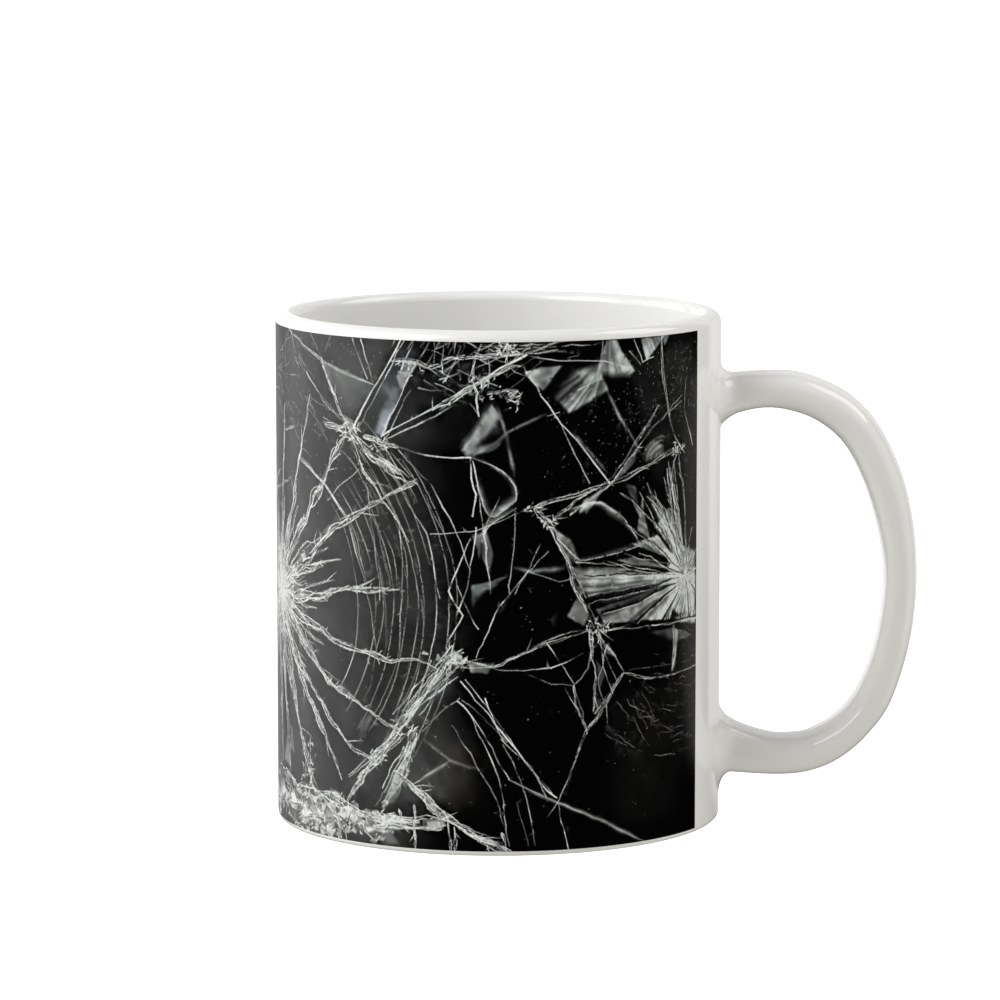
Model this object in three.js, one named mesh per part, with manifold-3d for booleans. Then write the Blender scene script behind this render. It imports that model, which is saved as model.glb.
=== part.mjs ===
// Straight-walled ceramic mug with a D-shaped side handle.
// Millimetres, +Z up, resting on z = 0. The origin is the centre of the
// bounding box's underside; the cup's own axis stands at x = AXIS_X, and the
// handle points along +X.
import * as THREE from 'three';
import { mergeVertices } from 'three/addons/utils/BufferGeometryUtils.js';
import Module from 'manifold-3d';

// ---- cup -------------------------------------------------------------
const BODY_R = 41.5;          // outside radius of the straight wall
const HEIGHT = 95.2;          // foot to the crest of the rim
const WALL = 4.0;             // wall thickness
const RIM_OUT = 2.1;          // rim rounding on the outside
const RIM_IN = 1.9;           // rim rounding on the inside
const FLOOR_Z = 6.5;          // inside floor above the table
const FLOOR_FILLET = 7.0;     // inside corner between wall and floor
const FOOT_CORNER = 1.0;      // outside corner at the foot
const FOOT_R_OUT = BODY_R - FOOT_CORNER;   // flat ring the mug stands on
const FOOT_R_IN = 34.5;
const RECESS_R = 32.6;        // underside recess behind the foot ring
const RECESS_DEPTH = 2.0;
const SEGMENTS = 96;          // facets around the cup

// ---- handle ----------------------------------------------------------
const HANDLE_REACH = 78.45;   // outermost point, from the cup's axis
const HANDLE_HALF_W = 6.4;    // half width across the handle (along Y)
const SECTION_POWER = 2.3;    // 2 = ellipse, larger = squarer section
const RINGS = 52;             // sections along the handle
const RING_POINTS = 28;       // points around each section
const RING_CROWDING = 0.105;  // crowds the sections towards both ends
// blends into the wall: how far the section grows, and over what distance
const BLEND_SIDE = { grow: 4.4, reach: 4.0 };
const BLEND_TOP_OUTER = { grow: 2.6, reach: 2.4 };
const BLEND_TOP_INNER = { grow: 2.0, reach: 4.0 };
const BLEND_LOW_OUTER = { grow: 4.2, reach: 2.2 };
const BLEND_LOW_INNER = { grow: 2.8, reach: 2.2 };
// The D in side view, as stations from the upper end to the lower one:
// [outer edge r, outer edge z, finger-side edge r, finger-side edge z],
// r from the cup's axis. Both ends run 1.9 mm into the wall.
const HANDLE_STATIONS = [
  [39.60, 83.30, 39.60, 74.55],
  [42.30, 83.40, 42.30, 75.25],
  [45.30, 83.60, 45.10, 76.10],
  [49.00, 83.82, 48.60, 76.85],
  [53.00, 83.88, 51.90, 76.88],
  [57.00, 83.35, 55.46, 76.15],
  [62.27, 81.38, 59.00, 74.75],
  [66.40, 78.85, 62.30, 72.50],
  [70.56, 74.41, 65.13, 69.31],
  [74.20, 67.78, 67.93, 63.89],
  [76.52, 61.20, 69.95, 58.20],
  [78.05, 52.53, 71.62, 51.15],
  [78.45, 44.48, 72.26, 44.48],
  [77.85, 36.40, 71.55, 37.00],
  [76.35, 29.10, 70.00, 30.00],
  [73.56, 20.92, 67.50, 24.00],
  [70.50, 16.35, 64.75, 20.00],
  [66.43, 12.20, 61.45, 17.28],
  [62.14, 9.45, 57.80, 15.50],
  [57.81, 8.02, 54.90, 15.15],
  [53.47, 7.55, 52.00, 15.15],
  [49.15, 7.62, 48.60, 15.95],
  [45.40, 7.85, 45.30, 17.15],
  [42.30, 8.05, 42.30, 18.70],
  [39.60, 8.20, 39.60, 19.50],
];

const AXIS_X = -(HANDLE_REACH - BODY_R) / 2;

// Profile of the turned cup as (radius, height), from the middle of the
// inside floor, up, over the rim, down, round the foot to the middle of the
// underside. It starts and ends on the axis, so the lathe closes itself.
function cupProfile() {
  const p = [];
  const add = (r, z) => p.push(new THREE.Vector2(r, z));
  const arc = (cr, cz, rr, rz, from, to, steps) => {
    for (let i = 0; i <= steps; i++) {
      const a = THREE.MathUtils.degToRad(from + ((to - from) * i) / steps);
      add(cr + rr * Math.cos(a), cz + rz * Math.sin(a));
    }
  };
  const inner = BODY_R - WALL;
  const crest = BODY_R - RIM_OUT;
  add(0, FLOOR_Z);
  add(15, FLOOR_Z);
  arc(inner - FLOOR_FILLET, FLOOR_Z + FLOOR_FILLET, FLOOR_FILLET, FLOOR_FILLET, -90, 0, 6);
  arc(crest, HEIGHT - RIM_IN, crest - inner, RIM_IN, 180, 90, 5);
  p.pop();
  arc(crest, HEIGHT - RIM_OUT, RIM_OUT, RIM_OUT, 90, 0, 5);
  arc(FOOT_R_OUT, FOOT_CORNER, FOOT_CORNER, FOOT_CORNER, 0, -90, 4);
  add(FOOT_R_IN, 0);
  add(FOOT_R_IN - 0.6, 0.35);
  add(RECESS_R, RECESS_DEPTH - 0.3);
  add(RECESS_R - 0.8, RECESS_DEPTH);
  add(0, RECESS_DEPTH);
  return p;
}

// Quarter-ellipse blend: how much a section has grown at distance d off the
// wall. Inside the wall it stays at its full growth.
const blend = (d, { grow, reach }) => {
  const u = 1 - THREE.MathUtils.clamp(d / reach, 0, 1);
  return grow * (1 - Math.sqrt(1 - u * u));
};

// The handle as a capped cylinder geometry bent along the D: each of the
// cylinder's vertices is moved to its place on the matching section.
function handleGeometry() {
  const edge = (i) => new THREE.CatmullRomCurve3(
    HANDLE_STATIONS.map((s) => new THREE.Vector3(s[i], 0, s[i + 1])), false, 'centripetal');
  const outer = edge(0), inner = edge(2);
  const geometry = new THREE.CylinderGeometry(1, 1, 1, RING_POINTS, RINGS, false);
  const pos = geometry.attributes.position;
  for (let i = 0; i < pos.count; i++) {
    const along = THREE.MathUtils.clamp(0.5 - pos.getY(i), 0, 1);
    const t = THREE.MathUtils.clamp(along - RING_CROWDING * Math.sin(2 * Math.PI * along), 0, 1);
    const o = outer.getPoint(t), f = inner.getPoint(t);
    const centre = o.clone().add(f).multiplyScalar(0.5);
    const outward = o.clone().sub(f);
    const halfT = outward.length() / 2;
    outward.normalize();
    const c = pos.getX(i), s = pos.getZ(i);
    if (Math.hypot(c, s) < 1e-6) { pos.setXYZ(i, centre.x, 0, centre.z); continue; }
    const power = 2 / SECTION_POWER;
    const cw = Math.sign(c) * Math.pow(Math.abs(c), power);
    const sn = Math.sign(s) * Math.pow(Math.abs(s), power);
    const upper = t < 0.5;
    const vertical = sn > 0
      ? (upper ? BLEND_TOP_OUTER : BLEND_LOW_OUTER)
      : (upper ? BLEND_TOP_INNER : BLEND_LOW_INNER);
    let y = HANDLE_HALF_W * cw, n = halfT * sn;
    for (let k = 0; k < 8; k++) {
      const d = Math.hypot(centre.x + outward.x * n, y) - BODY_R;
      y = (HANDLE_HALF_W + blend(d, BLEND_SIDE)) * cw;
      n = (halfT + blend(d, vertical)) * sn;
    }
    pos.setXYZ(i, centre.x + outward.x * n, y, centre.z + outward.z * n);
  }
  return geometry;
}

// ---- joining ---------------------------------------------------------
const wasm = await Module();
wasm.setup();

function toSolid(source) {
  const g = source.clone();
  g.deleteAttribute('normal');
  g.deleteAttribute('uv');
  const m = mergeVertices(g, 1e-4);
  const p = m.attributes.position.array;
  const tris = [];
  for (let i = 0; i < m.index.count; i += 3) {
    const [a, b, c] = [m.index.getX(i), m.index.getX(i + 1), m.index.getX(i + 2)];
    if (a !== b && b !== c && a !== c) tris.push(a, b, c);
  }
  // a closed skin wound the wrong way has a negative volume: turn it round
  let volume = 0;
  for (let i = 0; i < tris.length; i += 3) {
    const v = [0, 1, 2].map((k) => new THREE.Vector3().fromArray(p, tris[i + k] * 3));
    volume += v[0].dot(v[1].clone().cross(v[2])) / 6;
  }
  if (volume < 0) for (let i = 0; i < tris.length; i += 3) [tris[i + 1], tris[i + 2]] = [tris[i + 2], tris[i + 1]];
  return new wasm.Manifold(new wasm.Mesh({
    numProp: 3, vertProperties: new Float32Array(p), triVerts: new Uint32Array(tris),
  }));
}

function toGeometry(solid) {
  const mesh = solid.getMesh();
  const g = new THREE.BufferGeometry();
  const xyz = new Float32Array(mesh.numVert * 3);
  for (let i = 0; i < mesh.numVert; i++) {
    for (let k = 0; k < 3; k++) xyz[i * 3 + k] = mesh.vertProperties[i * mesh.numProp + k];
  }
  g.setAttribute('position', new THREE.BufferAttribute(xyz, 3));
  g.setIndex(new THREE.BufferAttribute(new Uint32Array(mesh.triVerts), 1));
  g.computeVertexNormals();
  return g;
}

const cup = new THREE.LatheGeometry(cupProfile(), SEGMENTS);
cup.rotateX(Math.PI / 2);
const oneFiring = toSolid(cup).add(toSolid(handleGeometry()));

const glaze = new THREE.MeshStandardMaterial({ color: 0xe9e9e6, roughness: 0.16, metalness: 0 });
const mug = new THREE.Mesh(toGeometry(oneFiring), glaze);
mug.name = 'mug';
mug.position.set(AXIS_X, 0, 0);

const part = new THREE.Group();
part.name = 'printed_mug';
part.add(mug);
export default part;
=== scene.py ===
"""Looks of a printed ceramic mug: glazed body with its handle, and a wrap-around
print of cracked black glass, built as triangles so that it stays crisp."""
import math

import bpy
import numpy as np
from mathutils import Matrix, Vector
from mathutils.geometry import delaunay_2d_cdt


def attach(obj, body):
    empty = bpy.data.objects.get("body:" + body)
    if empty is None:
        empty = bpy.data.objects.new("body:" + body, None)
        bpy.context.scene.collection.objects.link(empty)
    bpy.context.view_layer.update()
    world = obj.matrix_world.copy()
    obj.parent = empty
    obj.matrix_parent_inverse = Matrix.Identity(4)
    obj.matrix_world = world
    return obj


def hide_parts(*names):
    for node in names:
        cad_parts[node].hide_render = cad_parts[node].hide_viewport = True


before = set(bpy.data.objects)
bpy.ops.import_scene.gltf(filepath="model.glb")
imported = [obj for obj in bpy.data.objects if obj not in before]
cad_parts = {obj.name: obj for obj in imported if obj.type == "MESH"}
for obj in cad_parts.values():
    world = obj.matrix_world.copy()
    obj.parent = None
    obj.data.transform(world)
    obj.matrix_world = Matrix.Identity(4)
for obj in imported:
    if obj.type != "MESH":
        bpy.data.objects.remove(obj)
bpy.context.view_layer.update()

# ---------------------------------------------------------------- sizes (mm)
R = 41.5                    # outside radius of the straight wall
HEIGHT = 95.2
WALL = 4.0
RIM_OUT, RIM_IN = 2.1, 1.9
FLOOR_Z, FLOOR_FILLET = 6.5, 7.0
FOOT_CORNER = 1.0
FOOT_R_OUT, FOOT_R_IN = R - FOOT_CORNER, 34.5
RECESS_R, RECESS_DEPTH = 32.6, 2.0
HANDLE_REACH = 78.45
AXIS_X = -(HANDLE_REACH - R) / 2

HANDLE_HALF_W = 6.4
SECTION_POWER = 2.3
BLEND_SIDE = (4.4, 4.0)         # growth, reach
BLEND_TOP_OUTER = (2.6, 2.4)
BLEND_TOP_INNER = (2.0, 4.0)
BLEND_LOW_OUTER = (4.2, 2.2)
BLEND_LOW_INNER = (2.8, 2.2)
HANDLE_STATIONS = np.array([
    [39.60, 83.30, 39.60, 74.55], [42.30, 83.40, 42.30, 75.25],
    [45.30, 83.60, 45.10, 76.10], [49.00, 83.82, 48.60, 76.85],
    [53.00, 83.88, 51.90, 76.88], [57.00, 83.35, 55.46, 76.15],
    [62.27, 81.38, 59.00, 74.75], [66.40, 78.85, 62.30, 72.50],
    [70.56, 74.41, 65.13, 69.31], [74.20, 67.78, 67.93, 63.89],
    [76.52, 61.20, 69.95, 58.20], [78.05, 52.53, 71.62, 51.15],
    [78.45, 44.48, 72.26, 44.48], [77.85, 36.40, 71.55, 37.00],
    [76.35, 29.10, 70.00, 30.00], [73.56, 20.92, 67.50, 24.00],
    [70.50, 16.35, 64.75, 20.00], [66.43, 12.20, 61.45, 17.28],
    [62.14, 9.45, 57.80, 15.50], [57.81, 8.02, 54.90, 15.15],
    [53.47, 7.55, 52.00, 15.15], [49.15, 7.62, 48.60, 15.95],
    [45.40, 7.85, 45.30, 17.15], [42.30, 8.05, 42.30, 18.70],
    [39.60, 8.20, 39.60, 19.50]])

# The print, unrolled: s runs round the wall from the side opposite the
# handle's right, z is the height.
PRINT_PROUD = 0.03
PRINT_Z0, PRINT_Z1 = 0.98, 93.3
PRINT_S1 = R * math.radians(60.9)
PRINT_S0 = R * math.radians(-240.9)


# ------------------------------------------------------------ mesh building
def catmull(points, t):
    """Centripetal Catmull-Rom through points (n, d), at t (k,) in 0..1."""
    p = np.asarray(points, float)
    p = np.vstack([2 * p[0] - p[1], p, 2 * p[-1] - p[-2]])
    n = len(p) - 3
    u = np.clip(np.asarray(t, float), 0, 1) * n
    i = np.minimum(u.astype(int), n - 1)
    f = (u - i)[:, None]
    p0, p1, p2, p3 = p[i], p[i + 1], p[i + 2], p[i + 3]

    def knot(a, b):
        return np.sqrt(np.linalg.norm(b - a, axis=1, keepdims=True)) + 1e-9
    d0, d1, d2 = knot(p0, p1), knot(p1, p2), knot(p2, p3)
    m1 = ((p1 - p0) / d0 - (p2 - p0) / (d0 + d1) + (p2 - p1) / d1) * d1
    m2 = ((p2 - p1) / d1 - (p3 - p1) / (d1 + d2) + (p3 - p2) / d2) * d1
    c2 = -3 * p1 + 3 * p2 - 2 * m1 - m2
    c3 = 2 * p1 - 2 * p2 + m1 + m2
    return p1 + m1 * f + c2 * f ** 2 + c3 * f ** 3


class Skin:
    """Collects vertices, faces and normals in mm, and welds them."""

    def __init__(self):
        self.v, self.n, self.f, self.m = [], [], [], []
        self.count = 0

    def add(self, verts, normals, faces, material=0):
        self.v.append(np.asarray(verts, float))
        self.n.append(np.asarray(normals, float))
        base = self.count
        self.count += len(verts)
        for face in faces:
            self.f.append(tuple(int(i) + base for i in face))
            self.m.append(material)

    def build(self, name, grid=2e-4):
        v, n = np.vstack(self.v), np.vstack(self.n)
        keys = np.round(v / grid).astype(np.int64)
        _, first, back = np.unique(keys, axis=0, return_index=True, return_inverse=True)
        back = back.reshape(-1)
        normal = np.zeros((len(first), 3))
        np.add.at(normal, back, n)
        normal /= np.maximum(np.linalg.norm(normal, axis=1, keepdims=True), 1e-9)
        where = v[first].copy()
        faces, mats = [], []
        for face, mat in zip(self.f, self.m):
            w = [int(back[i]) for i in face]
            w = [w[i] for i in range(len(w)) if w[i] != w[i - 1]]
            if len(set(w)) == len(w) and len(w) > 2:
                a, b, c = where[w[0]], where[w[1]], where[w[-1]]
                (x0, y0, z0), (x1, y1, z1) = b - a, c - a
                k = normal[w[0]] + normal[w[1]] + normal[w[-1]]
                if (y0 * z1 - z0 * y1) * k[0] + (z0 * x1 - x0 * z1) * k[1] + (x0 * y1 - y0 * x1) * k[2] < 0:
                    w = w[::-1]
                faces.append(w)
                mats.append(mat)
        where[:, 0] += AXIS_X
        mesh = bpy.data.meshes.new(name)
        mesh.from_pydata([tuple(p) for p in where * 1e-3], [], faces)
        mesh.polygons.foreach_set("material_index", mats)
        mesh.polygons.foreach_set("use_smooth", [True] * len(mesh.polygons))
        mesh.update()
        mesh.normals_split_custom_set_from_vertices([tuple(p) for p in normal])
        piece = bpy.data.objects.new(name, mesh)
        bpy.context.scene.collection.objects.link(piece)
        return piece


def lathe(skin, profile, normals, segments, material=0):
    """Turns a (r, z) profile round the axis; the profile runs so that its
    right-hand side, seen along it, is outside."""
    a = np.linspace(-math.pi, math.pi, segments + 1)[:-1]
    ca, sa = np.cos(a), np.sin(a)
    verts, norms = [], []
    for (r, z), (nr, nz) in zip(profile, normals):
        verts.append(np.stack([r * ca, r * sa, np.full_like(a, z)], 1))
        norms.append(np.stack([nr * ca, nr * sa, np.full_like(a, nz)], 1))
    faces = []
    for i in range(len(profile) - 1):
        for j in range(segments):
            k = (j + 1) % segments
            faces.append((i * segments + j, i * segments + k,
                          (i + 1) * segments + k, (i + 1) * segments + j))
    skin.add(np.vstack(verts), np.vstack(norms), faces, material)


def arc(cr, cz, rr, rz, start, stop, steps):
    points, normals = [], []
    for i in range(steps + 1):
        t = math.radians(start + (stop - start) * i / steps)
        points.append((cr + rr * math.cos(t), cz + rz * math.sin(t)))
        n = np.array([math.cos(t) / rr, math.sin(t) / rz])
        normals.append(tuple(n / np.linalg.norm(n)))
    return points, normals


def handle_grid(around=72, blend_steps=11, along=96):
    """Points of the handle's skin, (around, rings, 3), from the wall at the
    upper end to the wall at the lower end, tangent to the wall at both."""
    ang = np.linspace(0, 2 * math.pi, around, endpoint=False)
    power = 2 / SECTION_POWER
    cw = np.sign(np.cos(ang)) * np.abs(np.cos(ang)) ** power
    sn = np.sign(np.sin(ang)) * np.abs(np.sin(ang)) ** power

    def place(t, growth_w, growth_t):
        e = catmull(HANDLE_STATIONS, t)
        o, f = e[:, :2], e[:, 2:]
        centre, half = (o + f) / 2, np.linalg.norm(o - f, axis=1) / 2
        out = (o - f) / (2 * half[:, None])
        n = (half + growth_t) * sn
        y = (HANDLE_HALF_W + growth_w) * cw
        return np.stack([centre[:, 0] + out[:, 0] * n, y, centre[:, 1] + out[:, 1] * n], 1)

    def end(upper):
        vert = [np.where(sn > 0, a, b) for a, b in zip(
            BLEND_TOP_OUTER if upper else BLEND_LOW_OUTER,
            BLEND_TOP_INNER if upper else BLEND_LOW_INNER)]
        share = np.abs(cw) ** 2 / (np.abs(cw) ** 2 + np.abs(sn) ** 2)
        # the finger side and the outer side differ: meet smoothly at the sides
        soft = 0.5 + 0.5 * np.clip(sn / 0.35, -1, 1)
        top = BLEND_TOP_OUTER if upper else BLEND_LOW_OUTER
        low = BLEND_TOP_INNER if upper else BLEND_LOW_INNER
        vert = [a * soft + b * (1 - soft) for a, b in zip(top, low)]
        reach = BLEND_SIDE[1] * share + vert[1] * (1 - share)
        rings, ts = [], []
        for k in range(blend_steps + 1):
            phi = math.pi / 2 * (1 - k / blend_steps)
            grow = 1 - math.cos(phi)
            want = reach * (1 - math.sin(phi))
            lo, hi = np.zeros(around), np.full(around, 0.35)
            for _ in range(40):
                mid = (lo + hi) / 2
                p = place(mid if upper else 1 - mid, BLEND_SIDE[0] * grow, vert[0] * grow)
                d = np.hypot(p[:, 0], p[:, 1]) - R
                lo = np.where(d < want, mid, lo)
                hi = np.where(d < want, hi, mid)
            t = (lo + hi) / 2
            t = t if upper else 1 - t
            rings.append(place(t, BLEND_SIDE[0] * grow, vert[0] * grow))
            ts.append(t)
        return rings, ts

    top, t_top = end(True)
    low, t_low = end(False)
    rings = list(top)
    for k in range(1, along):
        u = k / along
        u = u - 0.07 * math.sin(2 * math.pi * u)
        t = t_top[-1] * (1 - u) + t_low[-1] * u
        rings.append(place(t, 0, 0))
    rings += low[::-1]
    grid = np.stack(rings, 1)
    for ring in (0, -1):                      # exactly on the wall
        p = grid[:, ring]
        k = R / np.hypot(p[:, 0], p[:, 1])
        grid[:, ring, 0] *= k
        grid[:, ring, 1] *= k
    return grid


def grid_normals(g):
    du = np.roll(g, -1, 0) - np.roll(g, 1, 0)
    dv = np.empty_like(g)
    dv[:, 1:-1] = g[:, 2:] - g[:, :-2]
    dv[:, 0] = g[:, 1] - g[:, 0]
    dv[:, -1] = g[:, -1] - g[:, -2]
    n = np.cross(du, dv)
    n /= np.maximum(np.linalg.norm(n, axis=2, keepdims=True), 1e-12)
    centre = g.mean(0, keepdims=True)
    if np.mean(np.sum(n * (g - centre), 2)) < 0:
        n = -n
    for ring in (0, -1):
        p = g[:, ring].copy()
        p[:, 2] = 0
        n[:, ring] = p / np.linalg.norm(p, axis=1, keepdims=True)
    return n


def inside(poly, p):
    """Which points p (k, 2) lie in the closed polygon poly (n, 2)."""
    x, y = p[:, 0], p[:, 1]
    hit = np.zeros(len(p), bool)
    a, b = poly, np.roll(poly, -1, 0)
    for (x0, y0), (x1, y1) in zip(a, b):
        if y0 == y1:
            continue
        c = ((y0 > y) != (y1 > y))
        hit ^= c & (x < (x1 - x0) * (y - y0) / (y1 - y0) + x0)
    return hit


def triangulate(verts, edges, eps=1e-5):
    out = delaunay_2d_cdt([Vector((float(a), float(b))) for a, b in verts],
                          edges, [], 0, eps)
    v = np.array([(p.x, p.y) for p in out[0]])
    return v, np.array(out[2], dtype=np.int64), out[3]


SEGMENTS = 288


def build_mug():
    skin = Skin()
    inner, crest = R - WALL, R - RIM_OUT
    # inside floor, wall and rim
    points = [(0.0, FLOOR_Z), (8, FLOOR_Z), (16, FLOOR_Z), (24, FLOOR_Z)]
    normals = [(0, 1)] * 4
    p, n = arc(inner - FLOOR_FILLET, FLOOR_Z + FLOOR_FILLET, FLOOR_FILLET, FLOOR_FILLET, -90, 0, 14)
    points += p
    normals += [(-a, -b) for a, b in n]
    for z in (30, 48, 66, 82):
        points.append((inner, z))
        normals.append((-1, 0))
    p, n = arc(crest, HEIGHT - RIM_IN, crest - inner, RIM_IN, 180, 90, 12)
    points += p
    normals += n
    p, n = arc(crest, HEIGHT - RIM_OUT, RIM_OUT, RIM_OUT, 90, 0, 12)
    points += p[1:]
    normals += n[1:]
    lathe(skin, points, normals, SEGMENTS)
    # foot: corner, bare ring, recess
    p, n = arc(FOOT_R_OUT, FOOT_CORNER, FOOT_CORNER, FOOT_CORNER, 0, -90, 8)
    lathe(skin, p, n, SEGMENTS)
    ring = [(FOOT_R_OUT, 0), (38.5, 0), (36.5, 0), (FOOT_R_IN, 0), (FOOT_R_IN - 0.25, 0.05), (FOOT_R_IN - 0.6, 0.35)]
    lathe(skin, ring, [(0, -1)] * 4 + [(-0.4, -0.92), (-0.66, -0.75)], SEGMENTS, 1)
    under = [(FOOT_R_IN - 0.6, 0.35), (RECESS_R, RECESS_DEPTH - 0.3), (RECESS_R - 0.35, RECESS_DEPTH - 0.08),
             (RECESS_R - 0.8, RECESS_DEPTH), (24, RECESS_DEPTH), (12, RECESS_DEPTH), (0, RECESS_DEPTH)]
    lathe(skin, under, [(-0.66, -0.75), (-0.6, -0.8), (-0.3, -0.95)] + [(0, -1)] * 4, SEGMENTS)
    # handle
    g = handle_grid()
    gn = grid_normals(g)
    around, rings = g.shape[:2]
    faces = []
    flip = np.sum(np.cross(g[1, 30] - g[0, 30], g[0, 31] - g[0, 30]) * gn[0, 30]) < 0
    for i in range(around):
        k = (i + 1) % around
        for j in range(rings - 1):
            q = (i * rings + j, k * rings + j, k * rings + j + 1, i * rings + j + 1)
            faces.append(q[::-1] if flip else q)
    skin.add(g.reshape(-1, 3), gn.reshape(-1, 3), faces)
    # outside wall, unrolled and triangulated round the handle's two feet
    z0, z1 = FOOT_CORNER, HEIGHT - RIM_OUT
    a = np.linspace(-math.pi, math.pi, SEGMENTS + 1)
    rows = np.linspace(z0, z1, 30)
    loops = [np.stack([R * np.arctan2(g[:, k, 1], g[:, k, 0]), g[:, k, 2]], 1) for k in (0, -1)]
    verts, edges = [], []

    def chain(points, closed=False):
        base = len(verts)
        verts.extend(points)
        edges.extend((base + i, base + i + 1) for i in range(len(points) - 1))
        if closed:
            edges.append((base + len(points) - 1, base))
    border = [(R * t, z0) for t in a] + [(R * math.pi, z) for z in rows[1:]] \
        + [(R * t, z1) for t in a[::-1][1:]] + [(-R * math.pi, z) for z in rows[::-1][1:-1]]
    chain(border, True)
    for loop in loops:
        chain([tuple(p) for p in loop], True)
    mids = np.array([(R * t, z) for t in a[1:-1] for z in rows[1:-1]])
    keep = np.ones(len(mids), bool)
    for loop in loops:
        c = loop.mean(0)
        keep &= ~inside(c + (loop - c) * 1.05, mids)
    verts.extend(tuple(p) for p in mids[keep])
    v, f, _ = triangulate(verts, edges)
    mid = v[f].mean(1)
    hole = np.zeros(len(f), bool)
    for loop in loops:
        hole |= inside(loop, mid)
    f = f[~hole]
    t = v[:, 0] / R
    xyz = np.stack([R * np.cos(t), R * np.sin(t), v[:, 1]], 1)
    skin.add(xyz, np.stack([np.cos(t), np.sin(t), 0 * t], 1), f)
    return skin.build("mug_body")


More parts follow.
